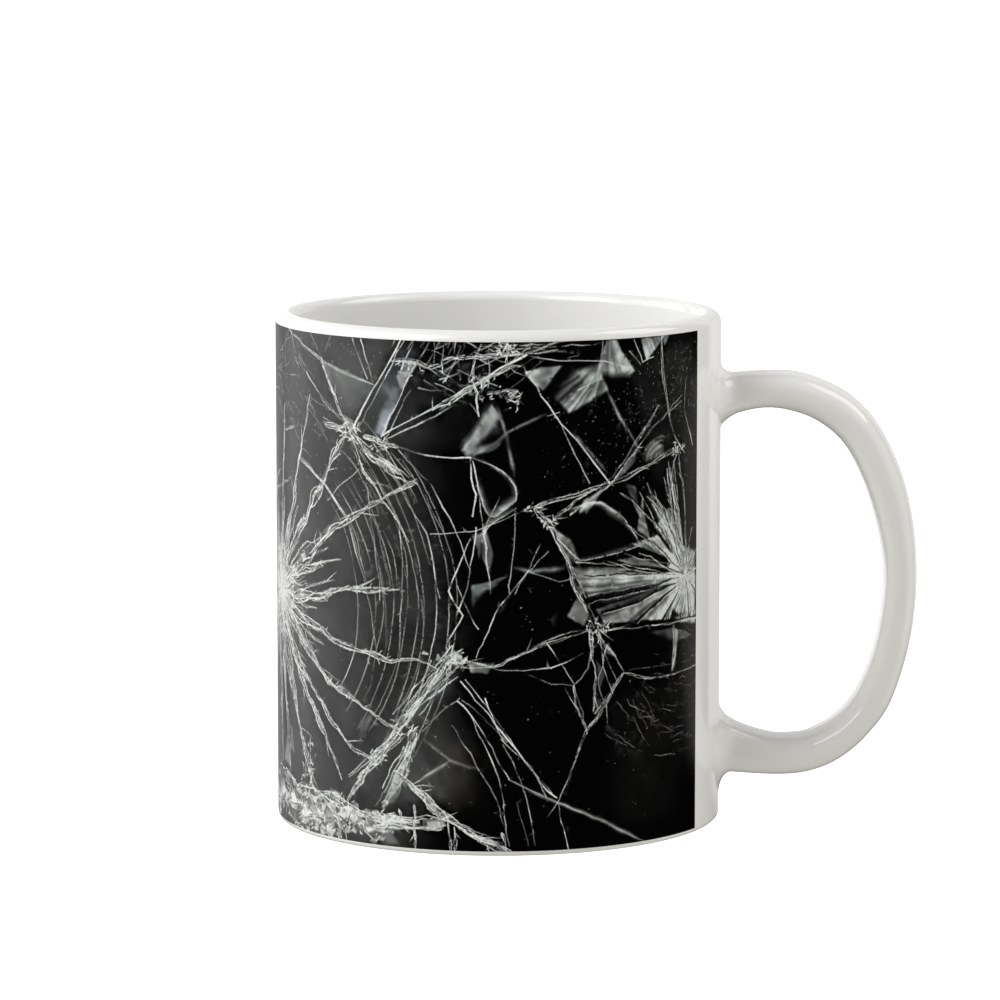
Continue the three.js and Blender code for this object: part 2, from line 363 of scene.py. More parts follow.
# --------------------------------------------------------- the crack picture
class Picture:
    """Cracked black glass drawn as lines, ribbons, panes and dust on the
    unrolled wall. Every path is random, from one seed. Sizes are in mm; the
    drawing is only a working field from which the triangles are made."""

    K = 10.0                                   # working steps per mm

    def __init__(self, seed):
        self.rng = np.random.RandomState(seed)
        self.w = int((PRINT_S1 - PRINT_S0) * self.K) + 2
        self.h = int((PRINT_Z1 - PRINT_Z0) * self.K) + 2
        self.L = np.zeros((self.h, self.w), np.float32)        # hard marks
        self.V = np.zeros((self.h, self.w), np.float32)        # veils
        self.D = np.ones((self.h, self.w), np.float32)         # black slits
        self.T = np.full((self.h, self.w), 0.5, np.float32)    # cast

    # -- marks ---------------------------------------------------------------
    def window(self, x0, y0, x1, y1):
        """Steps of the field inside a box, with their coordinates in mm."""
        k = self.K
        i0, i1 = max(0, int((x0 - PRINT_S0) * k)), min(self.w, int((x1 - PRINT_S0) * k) + 2)
        j0, j1 = max(0, int((y0 - PRINT_Z0) * k)), min(self.h, int((y1 - PRINT_Z0) * k) + 2)
        if i0 >= i1 or j0 >= j1:
            return None
        x = PRINT_S0 + np.arange(i0, i1, dtype=np.float32) / k
        y = PRINT_Z0 + np.arange(j0, j1, dtype=np.float32) / k
        return slice(j0, j1), slice(i0, i1), x[None, :], y[:, None]

    def line(self, p, w, b, dark=False):
        """A hard line; w is its half width and b its brightness at each point."""
        p = np.asarray(p, float)
        n = len(p)
        w = np.broadcast_to(np.asarray(w, float), (n,))
        b = np.broadcast_to(np.asarray(b, float), (n,))
        edge = 0.55 / self.K
        for i in range(n - 1):
            (ax, ay), (bx, by) = p[i], p[i + 1]
            m = max(w[i], w[i + 1]) + edge
            win = self.window(min(ax, bx) - m, min(ay, by) - m, max(ax, bx) + m, max(ay, by) + m)
            if win is None:
                continue
            js, is_, x, y = win
            dx, dy = bx - ax, by - ay
            q = dx * dx + dy * dy + 1e-9
            t = np.clip(((x - ax) * dx + (y - ay) * dy) / q, 0, 1)
            d = np.sqrt((x - ax - t * dx) ** 2 + (y - ay - t * dy) ** 2)
            cover = np.clip((w[i] + (w[i + 1] - w[i]) * t - d) / (2 * edge) + 0.5, 0, 1)
            tone = b[i] + (b[i + 1] - b[i]) * t
            part = self.L[js, is_]
            if dark:
                part *= 1 - cover * tone
                self.D[js, is_] *= 1 - cover * tone
            else:
                np.maximum(part, part * (1 - cover) + cover * tone, out=part)

    def glow(self, p, w, b, tint=0.42, side=0.0):
        """A soft line; with side = 1 or -1 it is soft on one side only."""
        p = self.resample(np.asarray(p, float), 1.2)
        n = len(p)
        t = np.linspace(0, 1, n)
        end = np.clip(np.minimum(t, 1 - t) * 4.5 + 0.06, 0, 1)
        w = w * (0.45 + 0.55 * end) * np.clip(1 + 0.25 * self.smooth(n, max(2, n // 4)), 0.5, 1.5)
        b = b * end * np.clip(1 + 0.25 * self.smooth(n, max(2, n // 3)), 0.4, 1.4)
        m = w.max() * 1.05
        win = self.window(p[:, 0].min() - m, p[:, 1].min() - m, p[:, 0].max() + m, p[:, 1].max() + m)
        if win is None:
            return
        js, is_, x, y = win
        best = np.zeros(np.broadcast(x, y).shape, np.float32)
        for i in range(n - 1):
            (ax, ay), (bx, by) = p[i], p[i + 1]
            dx, dy = bx - ax, by - ay
            q = dx * dx + dy * dy + 1e-9
            t = np.clip(((x - ax) * dx + (y - ay) * dy) / q, 0, 1)
            d = np.sqrt((x - ax - t * dx) ** 2 + (y - ay - t * dy) ** 2)
            if side:
                across = ((x - ax) * -dy + (y - ay) * dx) * side
                d = np.where(across < 0, d * 7, d)
            v = (b[i] + (b[i + 1] - b[i]) * t) * np.clip(1 - d / np.maximum(w[i] + (w[i + 1] - w[i]) * t, 1e-3), 0, 1) ** 1.7
            np.maximum(best, v, out=best)
        self.screen(js, is_, best, tint, self.V)

    def screen(self, js, is_, value, tint, layer):
        part, tone = layer[js, is_], self.T[js, is_]
        share = value / (part + value + 1e-3)
        tone += (tint - tone) * share * np.clip(value * 8, 0, 1)
        part += (1 - part) * value

    def pane(self, poly, b0, b1, turn=0.0, soft=0.15, tint=0.42, streak=0.0, fan=None, over=0.0, grain=9.0):
        """A translucent piece of glass: convex polygon, its brightness running
        from b0 to b1 in the direction turn, soft = fade at each edge (mm)."""
        poly = np.asarray(poly, float)
        a, c = poly, np.roll(poly, -1, 0)
        if np.sum(a[:, 0] * c[:, 1] - c[:, 0] * a[:, 1]) < 0:
            poly = poly[::-1]
            if np.ndim(soft):
                soft = list(np.roll(np.asarray(soft)[::-1], -1))
        n = len(poly)
        soft = np.broadcast_to(np.asarray(soft, float), (n,))
        win = self.window(poly[:, 0].min(), poly[:, 1].min(), poly[:, 0].max(), poly[:, 1].max())
        if win is None:
            return
        js, is_, x, y = win
        cover = 1.0
        for i in range(n):
            (ax, ay), (bx, by) = poly[i], poly[(i + 1) % n]
            ln = math.hypot(bx - ax, by - ay) + 1e-9
            d = ((x - ax) * -(by - ay) + (y - ay) * (bx - ax)) / ln
            s = np.clip(d / max(soft[i], 0.08) + (0.5 if soft[i] < 0.1 else 0), 0, 1)
            cover = cover * (s * s * (3 - 2 * s))
        u = math.cos(turn), math.sin(turn)
        t = x * u[0] + y * u[1]
        lo, hi = (poly @ np.array(u)).min(), (poly @ np.array(u)).max()
        t = np.clip((t - lo) / max(hi - lo, 1e-6), 0, 1)
        v = b0 + (b1 - b0) * t
        if streak:
            if fan is not None:
                g = np.arctan2(y - fan[1], x - fan[0]) * grain
            else:
                g = (x * -u[1] + y * u[0]) * grain / 6
            v = v * (1 + streak * self.wave(g))
        v = np.clip(v * cover, 0, 0.95).astype(np.float32)
        if over:
            self.L[js, is_] *= 1 - over * cover
        span = poly.max(0) - poly.min(0)
        self.screen(js, is_, v, tint, self.V if max(span) > 2.6 else self.L)

    def wave(self, g):
        k = self.rng.randn(64)
        g = g + 1000.37 + self.rng.rand() * 50
        i = np.floor(g).astype(int)
        f = g - i
        f = f * f * (3 - 2 * f)
        one = k[i % 64] * (1 - f) + k[(i + 1) % 64] * f
        g = g * 2.7
        i = np.floor(g).astype(int)
        f = g - i
        return one * 0.7 + 0.5 * (k[(i * 7) % 64] * (1 - f) + k[(i * 7 + 7) % 64] * f)

    # -- paths -----------------------------------------------------------------
    def crack(self, a, b, rough=0.05, least=1.1, bend=0.0):
        """An angular path: midpoints pushed aside again and again."""
        p = [np.asarray(a, float), np.asarray(b, float)]
        first = True
        while True:
            out, done = [p[0]], True
            for q, r in zip(p, p[1:]):
                ln = np.linalg.norm(r - q)
                if ln > least:
                    done = False
                    n = np.array([-(r - q)[1], (r - q)[0]])
                    m = q + (r - q) * (0.5 + 0.18 * (self.rng.rand() - 0.5))
                    m = m + n * (self.rng.randn() * rough * (0.6 if ln > 8 else 1) + (bend if first else bend * 0.0))
                    out.append(m)
                out.append(r)
            p = out
            first = False
            if done or len(p) > 400:
                return np.array(p)

    def along(self, points, rough=0.05, least=1.1):
        """The same through several points."""
        parts = [self.crack(a, b, rough, least) for a, b in zip(points, points[1:])]
        return np.vstack([parts[0]] + [q[1:] for q in parts[1:]])

    def arc(self, centre, radius, a0, a1, step=1.2, wobble=0.3):
        n = max(4, int(abs(math.radians(a1 - a0)) * radius / step))
        a = np.radians(np.linspace(a0, a1, n))
        r = radius + self.smooth(n, 5) * wobble + self.rng.randn(n) * 0.035
        return np.stack([centre[0] + r * np.cos(a), centre[1] + r * np.sin(a)], 1)

    def smooth(self, n, knots):
        k = self.rng.randn(knots + 2)
        x = np.linspace(0, knots, n)
        i = np.minimum(x.astype(int), knots)
        f = x - i
        f = f * f * (3 - 2 * f)
        return k[i] * (1 - f) + k[np.minimum(i + 1, knots + 1)] * f

    def sides(self, p):
        d = np.gradient(p, axis=0)
        d /= np.maximum(np.linalg.norm(d, axis=1, keepdims=True), 1e-9)
        return d, np.stack([-d[:, 1], d[:, 0]], 1)

    def resample(self, p, step):
        s = np.concatenate([[0], np.cumsum(np.linalg.norm(np.diff(p, axis=0), axis=1))])
        n = max(3, int(s[-1] / step) + 1)
        t = np.linspace(0, s[-1], n)
        return np.stack([np.interp(t, s, p[:, 0]), np.interp(t, s, p[:, 1])], 1)

    # -- kinds of crack --------------------------------------------------------
    def hair(self, p, w=0.09, b=0.6, gaps=0.1, fade=(1, 1), twin=0.0):
        """A thin crack, brighter and duller along its length."""
        r = self.rng
        n = len(p)
        length = np.linalg.norm(np.diff(p, axis=0), axis=1).sum()
        k = np.clip(0.72 + 0.3 * self.smooth(n, max(2, int(length / 4))), 0.12, 1)
        k = k * (0.75 + 0.25 * r.rand(n))
        k[r.rand(n) < gaps] *= 0.25
        k = k * np.linspace(fade[0], fade[1], n) * 1.25
        wide = w * np.clip(0.98 + 0.3 * self.smooth(n, max(2, int(length / 5))), 0.5, 1.5)
        self.line(p, wide * (0.7 + 0.5 * r.rand(n)), np.clip(b * k, 0, 1))
        if twin:
            d, nrm = self.sides(p)
            q = p + nrm * (twin + 0.1 * self.smooth(n, 4))[:, None]
            i0, i1 = int(n * 0.3 * r.rand()), n - int(n * 0.4 * r.rand())
            if i1 - i0 > 2:
                self.line(q[i0:i1], w * 0.7, np.clip(b * 0.7 * k[i0:i1], 0, 1))

    def ribbon(self, p, w0=0.9, w1=0.25, b=1.0, strands=4, fill=0.45, barbs=0.5, dark=0.5, tint=0.47):
        """A main crack: crushed glass between wandering bright strands."""
        r = self.rng
        p = self.resample(np.asarray(p, float), 0.42)
        n = len(p)
        t = np.linspace(0, 1, n)
        d, nrm = self.sides(p)
        half = (w0 + (w1 - w0) * t ** 0.8) * np.clip(0.8 + 0.32 * self.smooth(n, max(3, n // 9)), 0.35, 1.6)
        half = half * np.minimum(1, np.minimum(t * 12 + 0.4, (1 - t) * 10 + 0.25))
        lean = self.smooth(n, max(3, n // 12)) * 0.35
        # crushed filling: chips of uneven brightness
        for i in range(n - 2):
            if half[i] < 0.2 or r.rand() > 0.4:
                continue
            k = 2 + r.randint(4)
            lo = (-1 + 0.5 * r.rand()) * half[i]
            hi = (1 - 0.5 * r.rand()) * half[i]
            cut = lo + (hi - lo) * r.rand()
            for u, v in ((lo, cut), (cut, hi)):
                if v - u < 0.12:
                    continue
                j = min(i + k + 1, n - 1)
                a, c = p[i], p[j]
                sh = 0.5 * r.randn()
                quad = [a + nrm[i] * u, c + nrm[j] * u + d[i] * sh, c + nrm[j] * v + d[i] * sh, a + nrm[i] * v]
                g = 0.85 * fill * r.rand() ** 1.5 * (1.1 - 0.4 * t[i])
                self.pane(quad, g * r.rand(), g, turn=r.rand() * 6.28, soft=0.07, tint=tint)
        if dark:
            for _ in range(int(n * 0.16 * dark)):
                i = r.randint(max(1, n - 8))
                j = min(n, i + 3 + r.randint(8))
                off = (r.rand(j - i) - 0.5) * 0.25 + (r.rand() - 0.5) * 1.2
                self.line(p[i:j] + nrm[i:j] * (off * half[i:j])[:, None], 0.07, 0.8, dark=True)
        # strands
        for s in range(strands):
            span = (0.35 + 0.65 * r.rand()) if s > 1 else 1
            i0 = int(r.rand() * (1 - span) * n) if s > 1 else 0
            i1 = min(n, i0 + int(span * n))
            if i1 - i0 < 4:
                continue
            off = self.smooth(n, max(3, n // 11)) * 0.6 + self.smooth(n, max(5, n // 4)) * 0.12
            if s < 2:
                off = off * 0.45 + (0.72 if s else -0.72)
            off = np.clip(off, -1.15, 1.15) + lean * 0.3
            q = (p + nrm * (off * half)[:, None] + r.randn(n, 2) * 0.022)[i0:i1]
            m = len(q)
            k = np.clip(0.78 + 0.42 * self.smooth(m, max(3, m // 7)), 0.12, 1) * (0.75 + 0.25 * r.rand(m))
            k[r.rand(m) < 0.05] *= 0.3
            k = k * (1 - 0.3 * t[i0:i1])
            ww = (0.05 + 0.05 * r.rand(m)) * (1.35 if s == 0 else 1) * np.clip(half[i0:i1] / 0.5, 0.62, 1.15)
            self.line(q, ww, np.clip(b * k, 0, 1))
            if r.rand() < 0.45:
                g = 2 + r.randint(4)
                for i in range(0, m - 3, 2 + g):
                    if r.rand() < 0.3:
                        self.line([q[i], q[i] + nrm[min(i0 + i, n - 1)] * half[min(i0 + i, n - 1)] * r.choice([-1, 1]) * (0.4 + r.rand())
                                   + d[min(i0 + i, n - 1)] * (0.3 + 0.6 * r.rand())], 0.055, b * (0.4 + 0.5 * r.rand()))
        for _ in range(int(n * 0.1 * barbs)):
            i = r.randint(n)
            sgn = r.choice([-1, 1])
            start = p[i] + nrm[i] * half[i] * sgn * 0.8
            ang = math.atan2(d[i, 1], d[i, 0]) + sgn * math.radians(8 + 40 * r.rand() ** 1.5)
            if r.rand() < 0.25:
                ang = ang + math.pi - 2 * sgn * math.radians(10)
            ln = 0.6 + 3.4 * r.rand() ** 2
            end = start + np.array([math.cos(ang), math.sin(ang)]) * ln
            self.line([start, (start + end) / 2 + r.randn(2) * 0.07, end], [0.07, 0.055, 0.025],
                      b * (0.45 + 0.5 * r.rand()) * np.array([1, 0.9, 0.45]))
        return p

    def sheaf(self, a, b, count=5, spread=1.6, w=0.1, bright=0.8, close=0.35, haze=0.12):
        """Several near-parallel cracks that draw together at both ends."""
        r = self.rng
        a, b = np.asarray(a, float), np.asarray(b, float)
        u = (b - a) / np.linalg.norm(b - a)
        nrm = np.array([-u[1], u[0]])
        if haze:
            self.glow(self.crack(a, b, 0.03, 4), spread * 1.1, haze)
        for _ in range(count):
            f0, f1 = 0.25 * r.rand(), 1 - 0.3 * r.rand()
            o0, o1 = (r.rand() - 0.5) * spread * 2 * close, (r.rand() - 0.5) * spread * 2
            if r.rand() < 0.4:
                o0, o1 = o1, o0
            q = self.crack(a + (b - a) * f0 + nrm * o0, a + (b - a) * f1 + nrm * o1, 0.035, 1.4, bend=r.randn() * 0.02)
            self.hair(q, w * (0.7 + 0.7 * r.rand()), bright * (0.5 + 0.5 * r.rand()), gaps=0.08, fade=(1, 0.6 + 0.4 * r.rand()))

    def crush(self, centre, rx, ry, count, b=0.9, turn=None, size=1.0, fill=0.4, radial=0.0):
        """Crushed glass: chips and short bright edges, thinning outwards."""
        r = self.rng
        c = np.asarray(centre, float)
        for _ in range(count):
            q, a = math.sqrt(r.rand()), r.rand() * 2 * math.pi
            at = c + np.array([rx * q * math.cos(a), ry * q * math.sin(a)])
            if r.rand() < 0.3 and fill:
                k = 3 + r.randint(2)
                ang = np.sort(r.rand(k)) * 2 * math.pi
                chip = at + np.stack([np.cos(ang), np.sin(ang)], 1) * size * (0.3 + 0.8 * r.rand(k, 1))
                g = b * fill * (0.3 + r.rand())
                self.pane(chip, g * r.rand(), g, turn=r.rand() * 6.28, soft=0.08, tint=0.48, over=0.5 * r.rand())
            else:
                if radial and r.rand() < radial:
                    ang = math.atan2(at[1] - c[1], at[0] - c[0]) + r.randn() * 0.25
                elif turn is not None and r.rand() < 0.6:
                    ang = math.radians(turn) + r.randn() * 0.4
                else:
                    ang = r.rand() * 6.28
                ln = size * (0.5 + 1.9 * r.rand() ** 1.5) * (1.25 - 0.5 * q)
                u = np.array([math.cos(ang), math.sin(ang)])
                e = at + u * ln
                m = (at + e) / 2 + np.array([-u[1], u[0]]) * r.randn() * 0.13 * ln
                self.line([at, m, e], [0.05, 0.07 + 0.07 * r.rand(), 0.04], b * (0.35 + 0.65 * r.rand() ** 0.8))

    def burst(self, centre, radius, count, b=0.95, inner=0.15):
        """Fine short cracks that radiate from a point."""
        r = self.rng
        for _ in range(count):
            a = r.rand() * 2 * math.pi
            u = np.array([math.cos(a), math.sin(a)])
            p = np.asarray(centre) + u * radius * inner * r.rand()
            q = np.asarray(centre) + u * radius * (0.35 + 0.75 * r.rand() ** 1.3)
            pts = self.crack(p, q, 0.05, 0.9)
            self.line(pts, np.linspace(0.12, 0.04, len(pts)), b * np.linspace(1, 0.35 + 0.4 * r.rand(), len(pts)) * (0.6 + 0.4 * r.rand()))

    def arcs(self, centre, radii, a0, a1, w=0.09, b=0.55, breaks=0.5):
        r = self.rng
        for radius in radii:
            s0, s1 = a0 + (a1 - a0) * 0.16 * r.rand(), a1 - (a1 - a0) * 0.16 * r.rand()
            p = self.arc(centre, radius, s0, s1)
            n = len(p)
            i = 0
            while i < n - 3:
                ln = 4 + int(r.rand() * n * 0.7)
                q = p[i:i + ln] + r.randn(2) * 0.12
                m = len(q)
                if m > 3:
                    fade = np.clip(np.minimum(np.arange(m), np.arange(m)[::-1]) / 3.0, 0.3, 1)
                    k = fade * np.clip(0.75 + 0.3 * self.smooth(m, max(2, m // 5)), 0.2, 1)
                    self.line(q, w * (0.7 + 0.55 * r.rand(m)), np.clip(b * 1.3 * (0.5 + 0.5 * r.rand()) * k, 0, 1))
                    if r.rand() < 0.25:
                        self.hair(q[: m * 2 // 3] + r.randn(2) * 0.35, w * 0.6, b * 0.5)
                i += ln + (1 + r.randint(3) if r.rand() < breaks else -1)

    def scratch(self, box, count, turn, spread, length, w=0.075, b=0.55):
        r = self.rng
        for _ in range(count):
            p = np.array([box[0] + (box[2] - box[0]) * r.rand(), box[1] + (box[3] - box[1]) * r.rand()])
            a = math.radians(turn + r.randn() * spread)
            ln = length[0] + (length[1] - length[0]) * r.rand() ** 1.6
            q = p + np.array([math.cos(a), math.sin(a)]) * ln
            self.hair(self.crack(p, q, 0.04, 1.5), w * (0.6 + 0.8 * r.rand()), b * (0.35 + 0.65 * r.rand()), fade=(1, 0.5))

    def dust(self, box, count, size=0.1, b=0.5):
        r = self.rng
        for _ in range(count):
            x, y = box[0] + (box[2] - box[0]) * r.rand(), box[1] + (box[3] - box[1]) * r.rand()
            s = size * (0.5 + 1.0 * r.rand() ** 2)
            self.line([(x, y), (x + r.randn() * 0.06, y + r.randn() * 0.06)], s, b * (0.25 + 0.75 * r.rand()))


def draw_front(pic):
    r = pic.rng
    A, B, C, G, H = (-54.5, 44.5), (40.2, 48.6), (-29.2, 76.3), (-8.0, 36.0), (18.4, 41.0)
    # faint veils of the ground
    pic.pane([(-40, 92), (-30, 86), (-24, 85), (-18, 93)], .03, .07, 0.4, 2.0, 0.35)
    pic.pane([(-22, 75), (-12, 92), (2, 90), (-4, 72)], .02, .08, 2.2, 3.0, 0.3)
    pic.pane([(22, 92), (44, 93), (44, 60), (30, 66)], .10, .04, 4.2, 3.0, 0.5)
    pic.pane([(18, 30), (42, 33), (40, 2), (20, 2)], .05, .02, 4.7, 4.0, 0.72)
    pic.pane([(-12, 22), (-4, 22), (-2, 8), (-12, 8)], .06, .05, 4.7, 3.0, 1.0)
    pic.pane([(-30, 18), (-14, 20), (-8, 10), (-26, 6)], .04, .09, 0.8, 2.0, 0.45)
    # ---- the large impact at the left
    pic.glow([(-58, 36), (-55, 44), (-57, 54)], 9.0, .34, 0.5)
    pic.glow([(-58, 44.5), (-50, 45)], 5.0, .5, 0.5)
    spokes = [
        ([(-55, 48), (-52.5, 60), (-51.6, 79)], 1.2, .45), ([(-53, 49), (-46.5, 62), (-43, 74), (-40.3, 82)], 1.15, .3),
        ([(-51, 49), (-42, 58.5), (-36.5, 66), (-30, 75.5)], 1.5, .9), ([(-50, 48), (-40.5, 53), (-31, 59.5), (-22.5, 64), (-14.8, 68.3)], 1.35, .6),
        ([(-49, 47), (-40, 50.3), (-31.5, 52.6)], 1.2, .35), ([(-48, 44.5), (-38.5, 45.2), (-30, 47.4), (-18.5, 48.2)], 1.2, .2),
        ([(-49, 42), (-40, 39.7), (-30.5, 37), (-20, 35), (-12.5, 35)], 1.1, .35),
        ([(-50, 41), (-40.5, 34.5), (-32, 29), (-24.5, 25.5), (-18, 22.5)], 1.2, .55),
        ([(-51, 40), (-43.5, 31), (-35, 23.5), (-28.5, 18), (-23.5, 16.5)], 1.05, .4),
        ([(-52, 40), (-45, 31), (-38.5, 23), (-34, 16.5), (-31.5, 12)], 1.0, .35),
        ([(-53, 39), (-48, 27.5), (-43.5, 18), (-40, 10)], 1.3, 1.0),
        ([(-54, 38), (-51.5, 24), (-49.5, 12)], 1.0, .5), ([(-55.5, 38), (-55, 24), (-54, 12)], 1.0, .5),
        ([(-57, 48), (-60, 62), (-62, 80)], 1.1, .4), ([(-58, 46), (-68, 55), (-78, 66)], 1.2, .4),
        ([(-59, 44), (-72, 46), (-84, 51)], 1.1, .3), ([(-58, 42), (-70, 34), (-82, 28)], 1.1, .3),
        ([(-57, 40), (-63, 27), (-67, 12)], 1.1, .4), ([(-58, 47), (-65, 60), (-70, 72)], .9, .3)]
    for pts, w0, w1 in spokes:
        pic.ribbon(pic.along(pts, 0.045, 1.6), w0, w1, 1.0, strands=5, fill=.5, barbs=.8)
    for a, ln in [(83, 17), (72, 15), (60, 19), (50, 20), (38, 17), (27, 22), (20, 18), (11, 21), (3, 15), (-6, 16), (-16, 17), (-24, 20),
                  (-36, 21), (-47, 18), (-58, 22), (-70, 20), (-82, 22), (100, 16), (120, 18), (150, 18), (180, 20), (210, 18), (240, 17), (262, 18)]:
        u = np.array([math.cos(math.radians(a)), math.sin(math.radians(a))])
        pic.ribbon(pic.crack(np.array(A) + u * 2, np.array(A) + u * ln, 0.06, 1.4), .8, .2, .95, strands=3, fill=.45, barbs=.6)
    pic.crush(A, 7.5, 8.5, 330, 1.0, radial=0.65, size=1.15, fill=.55)
    pic.crush(A, 4.0, 4.5, 170, 1.0, radial=0.5, size=0.9, fill=.9)
    pic.burst(A, 12.5, 110, 1.0)
    # arcs round it
    pic.arcs(A, [27.5, 31, 32.8, 35.2, 37.4, 39.4, 41, 42.6, 45.6, 47.2], -42, 50, 0.075, .5)
    pic.arcs(A, [29.5, 34.2, 36.3, 38.5, 44], 5, 56, 0.075, .55)
    pic.arcs(A, [33.5, 36.5, 40.5], -40, 20, 0.055, .3)
    pic.arcs(A, [22, 27, 31, 36, 41], 120, 230, .07, .4)
    pic.hair(pic.along([(-44.4, 70.5), (-36, 66), (-29.6, 59.8), (-26, 50), (-23, 36)], 0.02, 3), .12, .8, fade=(1, .35), twin=.35)
    pic.ribbon(pic.along([(-44.4, 70.5), (-36, 66), (-30, 60.5)], 0.02, 2), .35, .2, .95, strands=3, fill=.6, barbs=.3)
    pic.hair(pic.along([(-35, 63), (-27, 69.5)], 0.03), .07, .6)
    # ---- crossing C and what leaves it
    for pts, w0, w1 in [([C, (-33, 82.5), (-36.6, 88.6), (-44, 91.5), (-51, 94)], .55, .2),
                        ([C, (-24, 72), (-19, 69.5), (-15.5, 68)], 1.1, .7), ([(-26, 75.4), (-21, 74.4), (-18.5, 74)], .8, .4),
                        ([(-36, 77.2), (-32, 76.8), C], .55, .5), ([C, (-26.5, 70), (-21, 63.5), (-16.5, 57)], .45, .12)]:
        pic.ribbon(pic.along(pts, 0.04, 1.6), w0, w1, 1.0, strands=4, fill=.6, barbs=.6)
    pic.crush(C, 2.2, 1.8, 46, .95, size=.9)
    pic.crush((-22.5, 74.2), 2.2, 1.2, 30, .95, size=.8)
    for pts, w, b in [([(-28.2, 77), (-18, 93.4)], .13, .85), ([(-27.4, 76.6), (-17.2, 93.4)], .07, .6), ([(-22.2, 75.6), (-12.4, 93.4)], .13, .85),
                      ([(-21.4, 75.2), (-16, 84.5)], .07, .5), ([(-22, 75.8), (-12, 81.2), (-3.6, 86.2), (5, 91)], .13, .9),
                      ([(-21, 75.3), (-13, 79.2), (-8, 82)], .09, .6), ([(-20.6, 74.6), (-11, 72.6), (-5, 72.6)], .11, .75),
                      ([(-40, 93), (-36.4, 88.8), (-34, 93.4)], .09, .6), ([(-36.6, 88.6), (-23.6, 85)], .06, .45),
                      ([(-41.5, 86), (-36, 81), (-31, 78)], .09, .6), ([(-39, 84), (-33, 79.6)], .07, .5), ([(-26.5, 93), (-23.6, 85)], .09, .65),
                      ([(-28.4, 93), (-25, 86)], .08, .55), ([(-30, 76), (-25, 66), (-23.8, 58), (-22.5, 46)], .09, .65),
                      ([(-29, 76), (-22, 66), (-18.4, 60), (-17.8, 47), (-18.4, 35)], .09, .65), ([(-28, 75.5), (-19, 68), (-13, 58.5), (-10.6, 47)], .09, .6),
                      ([(-18.5, 73.5), (-12.5, 68), (-8, 60), (-5, 52)], .09, .6), ([(-20, 73), (-13.5, 66), (-9.5, 58)], .08, .5)]:
        pic.hair(pic.along(pts, 0.022, 2.2), w, b)
    pic.pane([(-35.6, 88.4), (-23.6, 85), (-27.6, 77.6), (-31.5, 77.4)], .02, .24, 1.6, [.3, .4, 2.4, 2.0], 0.42)
    pic.pane([(-36.4, 88.6), (-33.2, 88), (-32.4, 83), (-33.6, 82.8)], .3, .42, 1.9, [.3, 1.6, .8, .4], 0.42)
    pic.glow([(-36.6, 88.6), (-29, 86.4), (-23.6, 85)], .5, .5, 0.42)
    pic.pane([(-25.6, 83), (-23.4, 85), (-26.6, 78.6)], .05, .3, 0.6, [.6, .2, .8], 0.42)
    pic.pane([(-24, 76.2), (-20.4, 84.8), (-16.8, 85.8), (-21.8, 75.6)], .6, .16, 1.2, [1.3, .5, .25, .3], 0.24, streak=.15, grain=4)
    pic.pane([(-19, 87), (-16.6, 89.8), (-14.8, 89), (-17.8, 84.2)], .6, .4, 1.2, [.3, .2, .2, .2], 0.4)
    pic.pane([(-26, 80), (-18.6, 92), (-14, 92), (-20.5, 78)], .04, .13, 1.0, .8, 0.2)
    pic.pane([(-31.5, 79), (-29.5, 76), (-27, 76), (-28.5, 78.5)], .5, .3, 1.0, .5, 0.45)
    # ---- the tangle along the top
    for pts, w0, w1 in [([(-12, 81), (-5, 84.8), (1, 88.6), (6, 93)], .5, .3), ([(-9, 82), (-3, 86.5), (4, 89)], .4, .2),
                        ([(-10, 90), (-2, 90.5), (7, 91.8), (12, 93.4)], .4, .25), ([(-3.5, 80), (-4.6, 86), (-3, 93)], .3, .15),
                        ([(-20, 89.5), (-12, 88.5), (-6, 91)], .4, .2), ([(-2, 84), (3.5, 84.6), (1.5, 82.6)], .5, .2)]:
        pic.ribbon(pic.along(pts, 0.05, 1.4), w0, w1, .95, strands=3, fill=.5, barbs=1.2)
    pic.scratch((-20, 84, 4, 93.5), 15, -22, 10, (3, 9), .08, .8)
    pic.scratch((-14, 80, 2, 92), 15, 33, 8, (3, 11), .085, .8)
    pic.scratch((-12, 84, 3, 93), 14, 84, 8, (2.5, 8), .08, .75)
    pic.scratch((-9, 90, 12, 93), 16, 4, 7, (3, 9), .08, .8)
    pic.scratch((-20, 86, -8, 93.5), 12, 60, 10, (3, 8), .09, .8)
    pic.crush((1.5, 92.2), 2.0, 1.4, 46, .95, size=.8)
    pic.crush((-3, 85), 3.2, 2.4, 30, .85, size=.9, turn=20)
    pic.crush((-16.5, 88.3), 2.6, 1.6, 14, .9, size=1.0, turn=-20)
    pic.crush((2, 83), 2.4, 1.6, 16, .8, size=.8, turn=40)
